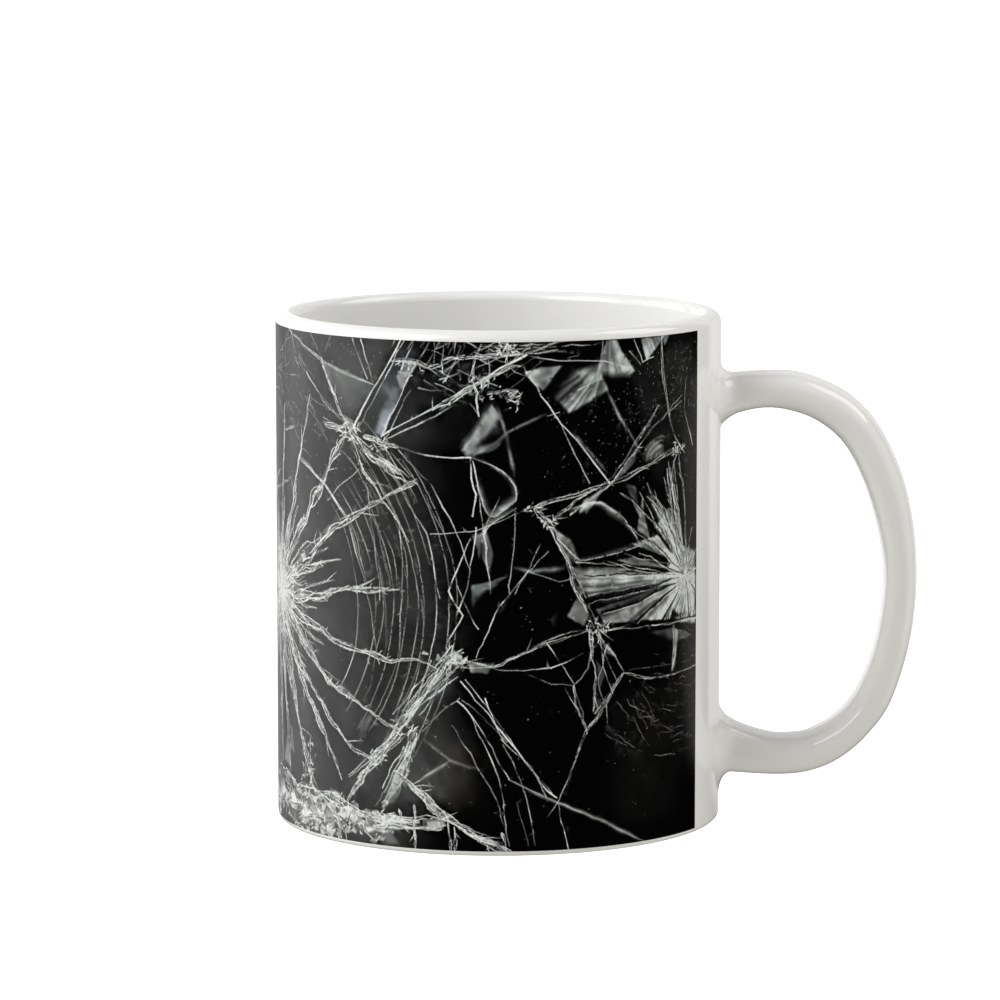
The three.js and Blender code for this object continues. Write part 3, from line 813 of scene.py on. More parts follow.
    # ---- veils and panes of the upper right
    pic.pane([(4.2, 87.8), (7, 88.6), (12, 89), (10, 86.6), (8, 84.4)], .62, .5, 0.2, [.3, .3, .3, .5, .3], 0.42, streak=.15)
    pic.pane([(8.8, 83.8), (12.6, 79.8), (20.8, 84), (18.4, 88), (13, 89)], .4, .74, 3.9, [.7, .6, .6, 1.6, 3.0], 0.4, streak=.4, fan=(21, 91), grain=13)
    pic.pane([(13, 88.2), (18.8, 89.4), (19.4, 85.6), (15.4, 85)], .16, .4, 0.2, [1.4, .6, .3, .8], 0.42, streak=.35, fan=(20, 93), grain=12)
    pic.pane([(17.2, 86), (19.8, 93.4), (22.4, 93.4), (26.4, 87.2), (24.4, 86)], .6, .44, 1.2, [.5, .4, .3, .3, 1.8], 0.42, streak=.35, fan=(20.4, 95), grain=9)
    pic.pane([(20.6, 93.4), (22.4, 93.4), (25.6, 87.2)], .32, .2, 4.5, .4, 0.42, streak=.3)
    pic.pane([(27.4, 93.2), (34, 93.4), (29, 89)], .45, .7, 5.2, [.5, .2, .2], 0.36, streak=.3)
    pic.pane([(32.4, 93.4), (35, 93.4), (33.2, 91.2)], .4, .6, 4.7, .2, 0.3)
    for pts, w, b in [([(4.2, 89.3), (10, 80.4), (13.2, 76.6), (20.8, 67.4)], .13, .8), ([(10.6, 79.8), (16.8, 67.6)], .085, .55),
                      ([(2.8, 91.4), (12, 89.8), (20, 89.4), (24.4, 88)], .08, .6), ([(14.4, 84.4), (18.2, 86), (19.4, 93)], .1, .6),
                      ([(26, 93), (28, 88.8), (30.6, 89.6)], .11, .85), ([(25, 91), (27.6, 88.4)], .09, .7), ([(8.8, 80), (11, 80.6)], .12, .7),
                      ([(40, 85), (39.4, 79), (42.4, 72.5)], .08, .6), ([(33, 78), (36, 80.6), (38.6, 82)], .07, .5)]:
        pic.hair(pic.along(pts, 0.02, 2.4), w, b)
    pic.glow([(13.4, 77), (17.2, 72.4), (20.4, 68.6)], .8, .42)
    pic.glow(pic.along([(19.4, 85.4), (23.8, 78), (28.4, 70.6)], 0.01, 4), .5, .5)
    pic.glow(pic.along([(-6, 71), (2, 77.6), (10, 80.8)], 0.01, 4), .55, .42)
    pic.glow(pic.along([(-.6, 82.6), (1.4, 76.8), (3, 68)], 0.01, 4), .6, .55)
    for pts, w0, w1 in [([(32.7, 93.4), (33.6, 84), (36.2, 75), (39.8, 71.2)], .35, .25), ([(9, 60.6), (14, 64.6), (21.4, 68.4), (27, 75), (32, 80.8)], .35, .15),
                        ([(13, 62), (21, 67.2), (28, 74.6), (34, 79), (38.6, 81)], .25, .1), ([(6.4, 63.6), (14, 65.4), (21.4, 67.4), (29, 69.8), (37.6, 72.6)], .3, .35)]:
        pic.ribbon(pic.along(pts, 0.022, 2.0), w0, w1, .92, strands=2, fill=.35, barbs=.35)
    pic.pane([(21.2, 68.2), (27.8, 75.2), (26.2, 70.4), (22, 67.4)], .45, .2, 0.9, .5, 0.42)
    pic.pane([(15.2, 64.6), (20, 66.8), (17, 62.6), (14, 61.6)], .6, .35, 0.5, [.3, .5, .7, .4], 0.42)
    pic.pane([(28.6, 69.8), (28.4, 73.4), (31, 74.8), (33.6, 72.6), (33.4, 70.8)], .2, .34, 2.2, [.3, .6, .8, .5, .8], 0.5)
    for rad in (1.7, 2.7, 3.6, 4.4):
        pic.glow(pic.arc((32.6, 70.2), rad, 70, 178, 0.6, .06), .45, .5, 0.5)
    pic.crush((37.6, 72.4), 1.8, 1.3, 30, .9, size=.8)
    # panes and rounded cells in the middle
    pic.pane([(-6.8, 73.4), (-1.2, 82.6), (1.0, 79.4), (-1.6, 75.6), (-3.8, 72.4)], .6, .46, 1.2, [.4, .5, 1.6, 1.6, .5], 0.42)
    pic.glow([(-6.6, 73.6), (-3.4, 79), (-1.2, 82.4)], 1.3, .45, 0.42)
    pic.pane([(-6.8, 73.4), (1.8, 77), (-1, 73.4), (-5, 72)], .5, .3, 0.4, [1.0, .3, .6, .2], 0.42)
    pic.pane([(-5.4, 74.4), (-1, 82), (1.2, 77)], .14, .2, 1.0, 1.2, 0.2)
    pic.pane([(-2.4, 79), (.4, 79.6), (-.6, 77.4)], .3, .12, 1.0, .9, 0.3)
    cells = [([(-5, 72.6), (0, 70.6), (2.8, 67.6), (3.2, 64.4), (-2, 60.9), (-3.2, 64), (-4.2, 70)], 1.7, .62),
             ([(3.4, 63.6), (-2, 60.6), (-3.2, 57)], 1.1, .6), ([(9.4, 60.4), (13, 63.6), (18, 64.4), (23.4, 61.6), (26.4, 57.4), (27.4, 55)], 1.3, .55),
             ([(27.6, 55.4), (23, 54.4), (14.6, 53.4), (10.6, 57.6)], 1.0, .42)]
    for pts, w, b in cells:
        p = pic.resample(np.array(pts, float), 2.0)
        p = p + np.stack([pic.smooth(len(p), 4), pic.smooth(len(p), 4)], 1) * 0.2
        pic.glow(p, w, b, 0.42, side=-1)
        pic.hair(pic.resample(p, 1.2), .085, .62)
    for pts, w, b in [([(-5, 72.6), (-4, 66), (-4.6, 62)], .12, .8), ([(-4.6, 72), (-3.2, 63), (-2.2, 54), (-1.4, 48)], .1, .7), ([(3, 63.4), (2.6, 55), (2, 48)], .09, .6),
                      ([(-12.4, 58.6), (-4, 59.4), (6.2, 63.6)], .08, .7), ([(-4, 60), (-4.6, 55), (-5.6, 49), (-7.6, 44)], .1, .7), ([(-5, 58), (-9, 48.4), (-6.4, 44), (-9.6, 38)], .1, .7),
                      ([(.4, 66), (-2.2, 60.6)], .08, .5), ([(-7.4, 49.4), (-5, 44), (-3.6, 41.6)], .09, .7), ([(5.6, 52), (9, 55.6)], .07, .5),
                      ([(5.4, 52.2), (-.6, 44.4), (-4, 36.4)], .11, .7), ([(7.6, 57), (5.4, 52), (3, 48)], .07, .55), ([(5.4, 52), (11, 50), (14, 50.6)], .07, .5)]:
        pic.hair(pic.along(pts, 0.03, 1.8), w, b)
    pic.glow([(1.4, 53), (5.5, 52), (13, 52.4)], .9, .35)
    pic.glow([(5.4, 52.4), (4, 49.4)], .8, .5)
    pic.pane([(-5.6, 49.8), (2.2, 51.2), (-1.8, 48.2)], .58, .3, 5.2, [.3, .3, .6], 0.42)
    pic.pane([(-5, 50), (-1.6, 49), (-5.2, 44.6)], .52, .1, 4.5, [.4, .9, .4], 0.3)
    pic.pane([(-2.6, 61), (-.6, 55), (-1.4, 50.6), (-3.4, 55)], .55, .25, 4.7, [.4, .5, .4, .5], 0.42)
    pic.pane([(-5, 58.4), (-2.6, 59), (-3.4, 53)], .5, .2, 4.6, .4, 0.42)
    pic.pane([(-.4, 45), (5, 52), (3, 48.6), (0, 43)], .3, .1, 4.2, .5, 0.42)
    # band from F down to H
    pic.crush((6.4, 63.4), 2.0, .9, 24, .8, size=.7, turn=0)
    pic.ribbon(pic.along([(6.4, 63.4), (9.2, 60.4), (12.2, 54.6), (15.4, 47), H], 0.05, 1.6), .5, .8, .85, strands=4, fill=.45, barbs=.7, dark=1)
    pic.pane([(9.4, 60.6), (13.6, 57.8), (16, 51.4), (12, 54.4)], .55, .2, 4.2, [.5, .6, .6, .3], 0.47, streak=.2)
    pic.pane([(12, 43.4), (15.6, 41.2), (16.8, 44), (15, 48)], .4, .35, 0.5, .35, 0.4)
    pic.crush((9.2, 60.6), 1.6, 1.3, 26, .85, size=.8)
    # ---- the impact at the right and its fans
    fans = [([(13.6, 52.2), (38.8, 49.4), (39, 47.6), (16.6, 46.4)], .42, .74, 0.1, .42), ([(12, 52.8), (32, 51), (15, 50.8)], .16, .5, 0.0, .3),
            ([(17.6, 44.6), (37.4, 48.2), (38, 46.6), (19.8, 41.6)], .5, .6, 0.2, .4), ([(17.6, 46.6), (37, 48.2), (20, 45)], .12, .4, 0.2, .4),
            ([(19.6, 42), (37.2, 47.6), (38.6, 46.2), (31.6, 41.4)], .62, .5, 0.3, .45), ([(31, 41.4), (37.8, 47), (38.8, 46), (35.6, 41.2)], .66, .6, 0.9, .4),
            ([(24.6, 55.8), (39, 50.8), (31.6, 57)], .42, .72, 5.9, .45), ([(26, 53.6), (38.4, 49.6), (19, 53)], .28, .6, 5.9, .4),
            ([(31, 58.4), (39.6, 51.4), (35, 62)], .36, .66, 5.4, .4), ([(35.6, 61.6), (39.8, 52), (38.4, 60)], .4, .7, 5.0, .4),
            ([(28, 65.4), (30, 55.6), (26.6, 58)], .66, .34, 4.6, .3), ([(23.6, 67), (26.4, 66.4), (29.4, 57.6)], .3, .62, 5.0, .3)]
    for poly, b0, b1, turn, st in fans:
        pic.pane(poly, b0, b1, turn, [.2, .4, .4, .25][:len(poly)], 0.44, streak=st, fan=B, grain=30)
    pic.pane([(34, 52.4), (38, 56), (44.2, 53), (44.2, 41), (38, 41), (34, 44)], .62, .82, 0.2, 1.2, 0.47, streak=.25, fan=B, grain=14)
    pic.pane([(36, 41.6), (44.2, 42), (44.2, 39), (38, 40)], .6, .4, 4.7, .5, 0.47, streak=.3)
    for p0, p1, ww in [((16.6, 46.2), (38, 48.6), .7), ((19.4, 43.9), (37, 47.6), .35), ((27, 41.6), (37.4, 47.2), .4), ((33.4, 41.4), (38.2, 46.6), .35),
                       ((20, 53.8), (37.6, 49.6), .45), ((24, 54.6), (37.4, 50.6), .3), ((16, 50.8), (37, 49.2), .14)]:
        q = pic.crack(p0, p1, .03, 1.6)
        pic.line(q, np.linspace(ww, .07, len(q)) * (0.8 + 0.4 * r.rand(len(q))), .93, dark=True)
        pic.hair(q + [0, -ww * .8], .07, .75, fade=(.6, 1))
    for a, ln, w in [(118, 16, .45), (127, 21, .5), (135, 24, .45), (109, 20, .4), (100, 22, .45), (96, 24, .3), (144, 19, .35), (156, 14, .25),
                     (75, 9, .35), (50, 8, .3), (10, 5, .3), (-40, 7, .3), (-80, 8, .3)]:
        u = np.array([math.cos(math.radians(a)), math.sin(math.radians(a))])
        q = pic.crack(np.array(B) + u * 1.2, np.array(B) + u * ln, 0.035, 1.3)
        pic.line(q, np.linspace(.1, .2, len(q)), .85, dark=True)
        pic.ribbon(q + np.array([-u[1], u[0]]) * 0.2, w * .8, .12, .85, strands=2, fill=.35, barbs=.35, dark=1)
    pic.crush(B, 3.0, 3.0, 44, .9, radial=.8, size=.8, fill=.8)
    pic.burst(B, 5.0, 24, .9)
    pic.sheaf((39, 51), (28.2, 66.6), 9, 2.4, .09, .8, haze=.18)
    pic.sheaf((38.6, 52), (34.6, 70.4), 6, 1.2, .09, .8, haze=.2)
    pic.ribbon(pic.along([(35.4, 57.5), (35, 64), (37.4, 71.6)], 0.04, 1.4), .5, .3, .85, strands=3, fill=.4)
    for pts, w, b in [([(14.2, 53.4), (24, 52.4), (34, 49.6)], .09, .6), ([(18.6, 40.7), (31, 40.7), (44.1, 40.4)], .12, .8), ([(19, 40.4), (28, 41.6)], .08, .6)]:
        pic.hair(pic.along(pts, 0.03, 1.6), w, b)
    # lower edge of the fan: dark teeth
    pic.line(pic.along([(30, 40.9), (44.1, 40.8)], 0.02, 1.5), .22, .9, dark=True)
    for k in range(22):
        x = 33.5 + 10.5 * r.rand()
        pic.line([(x, 41), (x + r.randn() * .3, 41.6 + 1.4 * r.rand())], [.1, .03], .85, dark=True)
    pic.hair(pic.along([(30.5, 40.6), (44.1, 40.3)], 0.02, 1.5), .1, .8)
    pic.pane([(29, 39.6), (36, 39.8), (44.1, 37.2), (36, 36.6)], .35, .2, 5.5, [.2, .3, .3, 1.2], 0.42)
    pic.ribbon(pic.along([(36.4, 40), (36.2, 31.6)], 0.03, 1.6), .5, .35, .7, strands=3, fill=.5, barbs=.3)
    pic.pane([(36.6, 39.6), (37.8, 39), (37, 32), (36.3, 32)], .55, .3, 4.7, .3, 0.42)
    for k in range(7):
        pic.arcs((44, 45), [5 + .8 * k], 205 + 6 * k, 262, .06, .5)
    pic.ribbon(pic.along([(24, 32.6), (30, 31), (36.4, 30.9), (44.1, 31.6)], 0.02, 2), .25, .2, .75, strands=2, fill=.3, barbs=.2)
    pic.hair(pic.along([(25, 33), (44.1, 33)], 0.02, 2), .05, .35)
    # ---- crossing H and what hangs under it
    pic.crush(H, 2.2, 1.8, 52, .85, size=.8)
    pic.line(pic.along([(16.6, 44), (18, 41.4), (20.4, 39.4)], .06, 1), .2, .7, dark=True)
    for pts, w0, w1 in [([H, (20.4, 37.6), (24, 32.8)], .5, .3), ([(17, 41), (17.2, 36), (18, 31), (17.6, 26)], .35, .3), ([(24, 32.6), (20, 27), (16.2, 22.4), (13.4, 15.6), (10.9, 9.8)], .3, .25),
                        ([(13.8, 31), (14.2, 27.4), (16, 23)], .25, .15), ([G, (-1, 34.8), (4, 37), (8.6, 39), (17.4, 41)], .6, .45)]:
        pic.ribbon(pic.along(pts, 0.04, 1.6), w0, w1, .85, strands=3, fill=.35, barbs=.7)
    for pts, w, b in [([(17.4, 40), (16.6, 34), (13.8, 31)], .08, .6), ([(19, 39.6), (19.6, 34), (21.6, 29)], .07, .6), ([(18.6, 38.6), (22.4, 31.4)], .07, .5), ([(20.4, 38), (18.6, 31), (20, 27)], .08, .6),
                      ([(24, 33), (18, 25.6)], .09, .6), ([(8.8, 38.8), (13.9, 31.2)], .1, .75), ([(-6.4, 34.6), (4.6, 34), (9.6, 34.4), (15.6, 36.8)], .08, .6),
                      ([(5, 33.4), (9.6, 31.4), (13.6, 31)], .09, .6), ([(13.8, 31), (15.6, 26), (16.4, 22)], .07, .5), ([(11, 9.6), (12.9, 0.9)], .1, .7)]:
        pic.hair(pic.along(pts, 0.035, 1.6), w, b)
    pic.pane([(20.6, 39), (22.2, 35.4), (19.4, 36.6)], .42, .3, 4.6, .3, 0.42)
    pic.pane([(17.8, 36), (20.4, 33), (18.6, 29)], .3, .16, 4.6, .3, 0.42)
    pic.pane([(17.8, 30.6), (19.8, 27.4), (17, 25)], .28, .1, 4.6, .3, 0.42)
    # ---- crossing G: sheaves down to the left, strands down to the right
    for _ in range(16):
        at = np.array(G) + r.randn(2) * [1.5, 1.1]
        ang = np.sort(r.rand(4)) * 2 * math.pi
        g = .3 + .6 * r.rand()
        pic.pane(at + np.stack([np.cos(ang), np.sin(ang)], 1) * (0.4 + 0.9 * r.rand(4, 1)), g * .4, g, r.rand() * 6.28, [.08, .3, .08, .4], .43, over=.6 * r.rand())
    pic.crush(G, 2.6, 2.0, 26, .95, size=1.1, turn=60)
    pic.pane([(-9.4, 37.6), (-6.4, 37.6), (-5.6, 34.6), (-8, 34)], .4, .25, 5, .4, 0.42)
    pic.pane([(-5.6, 35.6), (-.6, 35.6), (-2, 33.4), (-5, 33.6)], .5, .3, 5, .3, 0.42)
    pic.sheaf((-7.4, 38), (-19, 22.4), 7, 3.0, .085, .95, haze=.16)
    pic.sheaf((-6, 35), (-18.4, 23), 4, 2.0, .085, .9, haze=.12)
    pic.sheaf((-16.6, 24.4), (-31, 8.6), 6, 2.8, .085, .95, haze=.12)
    pic.sheaf((-15.6, 23), (-22.4, 7), 4, 2.0, .085, .9, haze=.22)
    pic.ribbon(pic.along([(-8, 37), (-13, 30), (-17.4, 24.4), (-23, 17.4), (-30, 8.4)], 0.03, 1.6), .6, .7, .95, strands=3, fill=.6)
    pic.ribbon(pic.along([(-15.4, 23), (-18, 15), (-22, 8)], 0.03, 1.6), .9, .9, .9, strands=3, fill=.7)
    pic.crush((-17.6, 23.4), 2.2, 2.2, 22, .95, size=1.1, turn=50)
    pic.crush((-23.4, 17), 2.0, 1.6, 18, .95, size=1.0, turn=40)
    pic.pane([(-15.6, 21.6), (-14, 22.6), (-16.6, 17), (-17.8, 18)], .4, .3, 4.5, .4, 0.42)
    pic.pane([(-27.4, 24), (-22.4, 27), (-28.6, 16.4)], .3, .04, 4.2, [1.2, .6, 1.0], 0.4)
    pic.pane([(-19.4, 15.4), (-16.2, 18), (-19.2, 9), (-22.4, 8)], .28, .34, 4.2, .6, 0.42)
    for pts, w, b in [([(-6.8, 32), (-1.6, 26), (2.6, 20.4), (10.6, 10.6)], .12, .85), ([(-6, 32.4), (1, 23), (9.8, 11.4)], .08, .7), ([(-7.4, 28.4), (-3.6, 24), (-.6, 18.6), (2, 14.2)], .11, .8),
                      ([(-6.6, 28.6), (-2, 24.6), (1.6, 21)], .08, .6), ([(-5, 26), (0, 14.6), (2, 2)], .08, .6), ([(.8, 20.6), (4, 14), (6.6, 2)], .08, .5), ([(.4, 21.6), (6, 16.4), (8.6, 11)], .09, .7),
                      ([(-8.4, 24), (-1.4, 12.6), (1.4, 5)], .06, .5), ([(3.4, 10), (5.4, 2)], .06, .4), ([(-2.4, 29), (-.6, 24.6), (2, 20)], .1, .75),
                      ([(-14.2, 21.4), (-8.6, 17.8)], .05, .45), ([(-15.8, 12.8), (-8.6, 17.8)], .07, .45), ([(-14.2, 22.4), (-10.4, 26.4), (-7, 29)], .07, .5), ([(-13.4, 24), (-11, 25)], .07, .5)]:
        pic.hair(pic.along(pts, 0.03, 1.8), w, b)
    pic.glow([(-14, 21.4), (-8.4, 17.6), (-2.6, 15.8)], .5, .3, 0.42)
    pic.glow([(-15.6, 12.8), (-8.6, 17.6)], .6, .35, 0.42)
    pic.glow([(1.8, 14.2), (10.8, 9.8), (18, 6.4), (29, .9)], .6, .6, 0.45)
    pic.hair(pic.along([(1.8, 14.2), (10.8, 9.8), (18, 6.4), (29, .9)], 0.01, 3), .08, .5, fade=(1, .5))
    # ---- crushed glass along the lower left
    for cx, cy, rx, ry, n in [(-54, 7, 5, 5, 18), (-47, 4.6, 5.5, 4.4, 22), (-40, 5, 5, 4.4, 30), (-35, 4.4, 5, 4.2, 34), (-30, 5, 4, 3.6, 26), (-24.5, 4.4, 4, 2.8, 18), (-20, 5.4, 3, 1.5, 8)]:
        pic.glow([(cx - 4, cy), (cx + 4, cy)], ry + 1.0, .3, 0.5)
        pic.crush((cx, cy), rx, ry, int(n * .7), 1.0, size=1.5, fill=0)
        for _ in range(n):
            q, a = math.sqrt(r.rand()), r.rand() * 2 * math.pi
            at = np.array([cx + rx * q * math.cos(a), cy + ry * q * math.sin(a)])
            ang = (np.arange(4) + 0.7 * r.rand(4)) * math.pi / 2 + r.rand() * 3
            chip = at + np.stack([np.cos(ang), 0.7 * np.sin(ang)], 1) * (0.6 + 1.3 * r.rand(4, 1)) * (1.25 - 0.6 * q) * (1.5 if cx < -44 else 1.1)
            g = (0.16 + 0.84 * r.rand()) * (1.0 - 0.3 * q)
            pic.pane(chip, g * (0.3 + 0.6 * r.rand()), g, turn=r.rand() * 6.28, soft=[.08, .3, .08, .5], tint=0.47, over=0.95)
            if r.rand() < 0.45:
                pic.line([chip[0], chip[1]], .065, .6 + .4 * r.rand())
            if r.rand() < 0.35:
                pic.line([chip[2], chip[3]], .12, .8, dark=True)
    for pts, w0, w1 in [([(-52, 11), (-46, 8.4), (-40, 9.4), (-34, 6)], .5, .4), ([(-38, 9), (-32, 8), (-26, 6.2), (-20, 6)], .9, .8), ([(-24, 6.2), (-16, 5.8), (-9, 6.2)], 1.0, .8),
                        ([(-24, 4.4), (-17, 4.6), (-10, 5)], .4, .3), ([(-19.4, 15), (-13, 10), (-9, 6.8), (-4, 4), (1.6, .9)], .45, .9), ([(-9, 6.4), (-3.4, 3.4), (1.8, 1)], .5, .5),
                        ([(-15.6, 6), (-15.4, .9)], .35, .3), ([(-9.2, 6), (-8.6, .9)], .4, .3), ([(-8, 5.4), (-8, 1)], .2, .2), ([(.6, 4.4), (1.4, 1)], .4, .2), ([(-18.6, 8), (-18.2, 5)], .25, .2), ([(-15.6, 9), (-15.2, 5.6)], .25, .2)]:
        pic.ribbon(pic.along(pts, 0.04, 1.5), w0, w1, 1.0, strands=4, fill=.6, barbs=1.0)
    pic.pane([(-50, 15), (-49, 21), (-46.6, 14)], .45, .25, 4.6, .5, 0.42)
    pic.pane([(-53.6, 12), (-51, 19), (-48.4, 11)], .5, .35, 4.6, .6, 0.42)
    pic.pane([(-22.6, 3.4), (-20.4, 4.4), (-18, 1), (-22, .9)], .3, .15, 4.6, .6, 0.42)
    pic.crush((-42, 10.6), 2.6, 3.4, 30, .95, size=1.0, turn=100)
    pic.crush((-40.5, 14), 1.2, 3.4, 20, .9, size=1.0, turn=115)
    # upper left: short parallel scratches and specks
    pic.scratch((-56, 76, -38, 92), 26, -38, 7, (2, 7), .07, .65)
    pic.scratch((-57, 84, -46, 92), 12, 20, 14, (2, 7), .08, .65)
    pic.scratch((-50, 72, -34, 84), 9, -18, 5, (4, 12), .06, .5)
    pic.hair(pic.along([(-51, 93), (-50.6, 84)], 0.02, 2), .06, .45)
    pic.ribbon(pic.along([(-51, 74.4), (-46.4, 75.4)], 0.05, 1.2), .35, .3, .9, strands=2)
    # fine broken arcs over the dark lower right
    for k in range(12):
        rad = 17 + 1.55 * k
        for _ in range(5):
            a0 = 235 + 42 * r.rand()
            q = pic.arc((40, 50), rad + r.randn() * .5, a0, a0 + 3 + 10 * r.rand(), 1.0, .25)
            q[:, 0] += .25 * (q[:, 1] - 30)
            pic.hair(q, .055, .34 * r.rand() + .08, gaps=.3, fade=(.6, 1))
    pic.scratch((20, 24, 30, 32), 6, -55, 8, (3, 7), .05, .35)
    pic.dust((-57, 60, -20, 92), 260, .07, .36)
    pic.dust((8, 66, 30, 84), 170, .065, .4)
    pic.dust((24, 78, 44, 92), 230, .065, .45)
    pic.dust((4, 40, 16, 50), 18, .08, .55)
    pic.dust((-50, 4, 44, 60), 120, .065, .3)
    pic.dust((-14, 8, 30, 34), 40, .08, .45)
    pic.dust((34, 54, 44, 90), 90, .065, .4)


def draw_far(pic):
    """The side that faces away, carried on in the same manner."""
    r = pic.rng
    for centre, size, low, high in [((-104.0, 60.0), 1.0, 0, 360), ((-149.0, 31.0), .82, 0, 360)]:
        pic.glow([(centre[0] - 1, centre[1]), (centre[0] + 1, centre[1])], 8 * size, .3, 0.5)
        a = low
        while a < high:
            u = np.array([math.cos(math.radians(a)), math.sin(math.radians(a))])
            ln = (18 + 22 * r.rand()) * size
            pic.ribbon(pic.crack(np.array(centre) + u * 2, np.array(centre) + u * ln, 0.05, 1.6), (.7 + .5 * r.rand()) * size, .3, .95,
                       strands=3 + r.randint(2), fill=.45, barbs=.7)
            a += 13 + 12 * r.rand()
        pic.crush(centre, 5 * size, 5 * size, int(170 * size), .95, radial=.6, size=1.0, fill=.55)
        pic.burst(centre, 10 * size, 70, .95)
        pic.arcs(centre, np.array([23, 25.5, 29, 31.5, 34, 37]) * size, 20, 110, .085, .5)
        pic.arcs(centre, np.array([21, 26, 30, 33]) * size, 190, 290, .08, .45)
    ends = [(-80, 80), (-78, 24), (-126, 84), (-122, 16), (-166, 70), (-170, 14), (-92, 10), (-150, 84), (-70, 58), (-128, 48), (-160, 50)]
    for i, k in enumerate(ends):
        for a in np.arange(0, 360, 70) + r.rand() * 60:
            u = np.array([math.cos(math.radians(a)), math.sin(math.radians(a))])
            pic.ribbon(pic.crack(k, np.array(k) + u * (9 + 17 * r.rand()), 0.045, 1.8), .45, .2, .85, strands=2 + r.randint(2), fill=.4)
        pic.crush(k, 2.0, 1.8, 34, .9, size=.8)
    joins = [(ends[i], ends[j]) for i in range(len(ends)) for j in range(i) if math.dist(ends[i], ends[j]) < 48]
    joins += [((-104, 60), k) for k in ends if math.dist((-104, 60), k) < 44] + [((-149, 31), k) for k in ends if math.dist((-149, 31), k) < 40]
    for a, b in joins:
        pic.ribbon(pic.crack(a, b, 0.045, 2.0, bend=r.randn() * .06), .35, .22, .85, strands=3, fill=.4, barbs=.4)
    for _ in range(44):
        c = np.array([-172 + 104 * r.rand(), 8 + 80 * r.rand()])
        a, k = r.rand() * 6.28, 2 + 4.5 * r.rand()
        tri = c + np.array([[math.cos(a), math.sin(a)], [math.cos(a + 2.2), math.sin(a + 2.2)], [math.cos(a + 3.5), math.sin(a + 3.5)]]) * k * (.5 + r.rand(3, 1))
        g = .12 + .4 * r.rand()
        pic.pane(tri, g, g * .2, r.rand() * 6.28, .25 + r.rand(3) * 1.2, .42, streak=.35 * r.rand(), grain=5)
        if r.rand() < .7:
            pic.hair(pic.crack(tri[0], tri[1], .01, 3), .08, .5)
    for _ in range(16):
        c, u = np.array([-170 + 98 * r.rand(), 8 + 80 * r.rand()]), r.rand() * 6.28
        v = np.array([math.cos(u), math.sin(u)])
        pic.sheaf(c, c + v * (9 + 8 * r.rand()), 5, 1.5, .085, .75, haze=.06)
    pic.scratch((-174, 4, -62, 92), 70, 30, 60, (3, 14), .075, .55)
    pic.scratch((-174, 84, -62, 92), 40, 10, 30, (3, 9), .08, .7)
    for _ in range(90):
        at = np.array([-84 + 28 * r.rand(), 1 + 6 * r.rand() ** 1.5])
        ang = (np.arange(4) + 0.7 * r.rand(4)) * math.pi / 2 + r.rand() * 3
        g = 0.12 + 0.8 * r.rand()
        pic.pane(at + np.stack([np.cos(ang), np.sin(ang)], 1) * (0.6 + 1.4 * r.rand(4, 1)), g * .4, g, r.rand() * 6.28, [.08, .3, .08, .5], .47, over=.8)
    pic.crush((-70, 4), 12, 3, 60, .9, size=1.3)
    pic.dust((PRINT_S0 + 1, 2, -58, 92), 700, .085, .42)


def cloud(rng, h, w, cell):
    """Smooth random field, about -1 to 1, with lumps of this many steps."""
    g = rng.rand(h // cell + 3, w // cell + 3).astype(np.float32) * 2 - 1
    y, x = np.arange(h) / cell, np.arange(w) / cell
    j, i = y.astype(int), x.astype(int)
    v, u = (y - j).astype(np.float32)[:, None], (x - i).astype(np.float32)[None]
    v, u = v * v * (3 - 2 * v), u * u * (3 - 2 * u)
    rows = g[:, i] * (1 - u) + g[:, i + 1] * u
    return rows[j] * (1 - v) + rows[j + 1] * v


def soften(a, sigma):
    n = max(1, int(sigma * 3 + 1))
    k = np.exp(-0.5 * (np.arange(-n, n + 1) / sigma) ** 2)
    k = (k / k.sum()).astype(np.float32)
    for axis in (0, 1):
        pad = np.concatenate([a.take([0] * n, axis), a, a.take([-1] * n, axis)], axis)
        size = a.shape[axis]
        a = sum(k[i] * pad.take(np.arange(i, i + size), axis) for i in range(2 * n + 1))
    return a


def ground(pic):
    """The black between the cracks isn't quite even: a grey ramp over the left of the front, partly glass haze round
    the large impact and partly a painted reflection of the left softbox on the glossy print; grey blooms round the two
    far impacts and along the top right, and two dim warm patches."""
    s = (PRINT_S0 + np.arange(pic.w) / pic.K)[None].astype(np.float32)
    z = (PRINT_Z0 + np.arange(pic.h) / pic.K)[:, None].astype(np.float32)
    # painted reflection, partly glass haze: the ground turns grey towards the left of the front, where the left softbox
    # glares on the glossy print
    haze_and_painted_glare = np.clip((-2 - 0.2 * np.clip(z - 50, -4, 40) + 0.5 * np.clip(z - 16, -16, 0) - s) / 14, 0, 1)
    haze_and_painted_glare = haze_and_painted_glare * haze_and_painted_glare * (3 - 2 * haze_and_painted_glare) * np.clip((s + 96) / 30, 0, 1)
    g = 0.010 + haze_and_painted_glare * (0.198 + 0.03 * np.clip((-38 - s) / 15, 0, 1))
    for cs, cz, rs, rz, level in [(-104, 60, 26, 34, .17), (-149, 31, 22, 30, .15),
                                  (40, 84, 13, 22, .07), (-24, 86, 14, 12, .05), (30, 14, 10, 15, .05), (-7, 15, 9, 8, .06)]:
        g += level * np.exp(-((s - cs) / rs) ** 2 - ((z - cz) / rz) ** 2)
    warm = np.exp(-((s + 6.5) / 7) ** 2 - ((z - 14) / 8) ** 2) + 0.6 * np.exp(-((s - 28) / 8) ** 2 - ((z - 15) / 12) ** 2)
    return g.astype(np.float32), warm


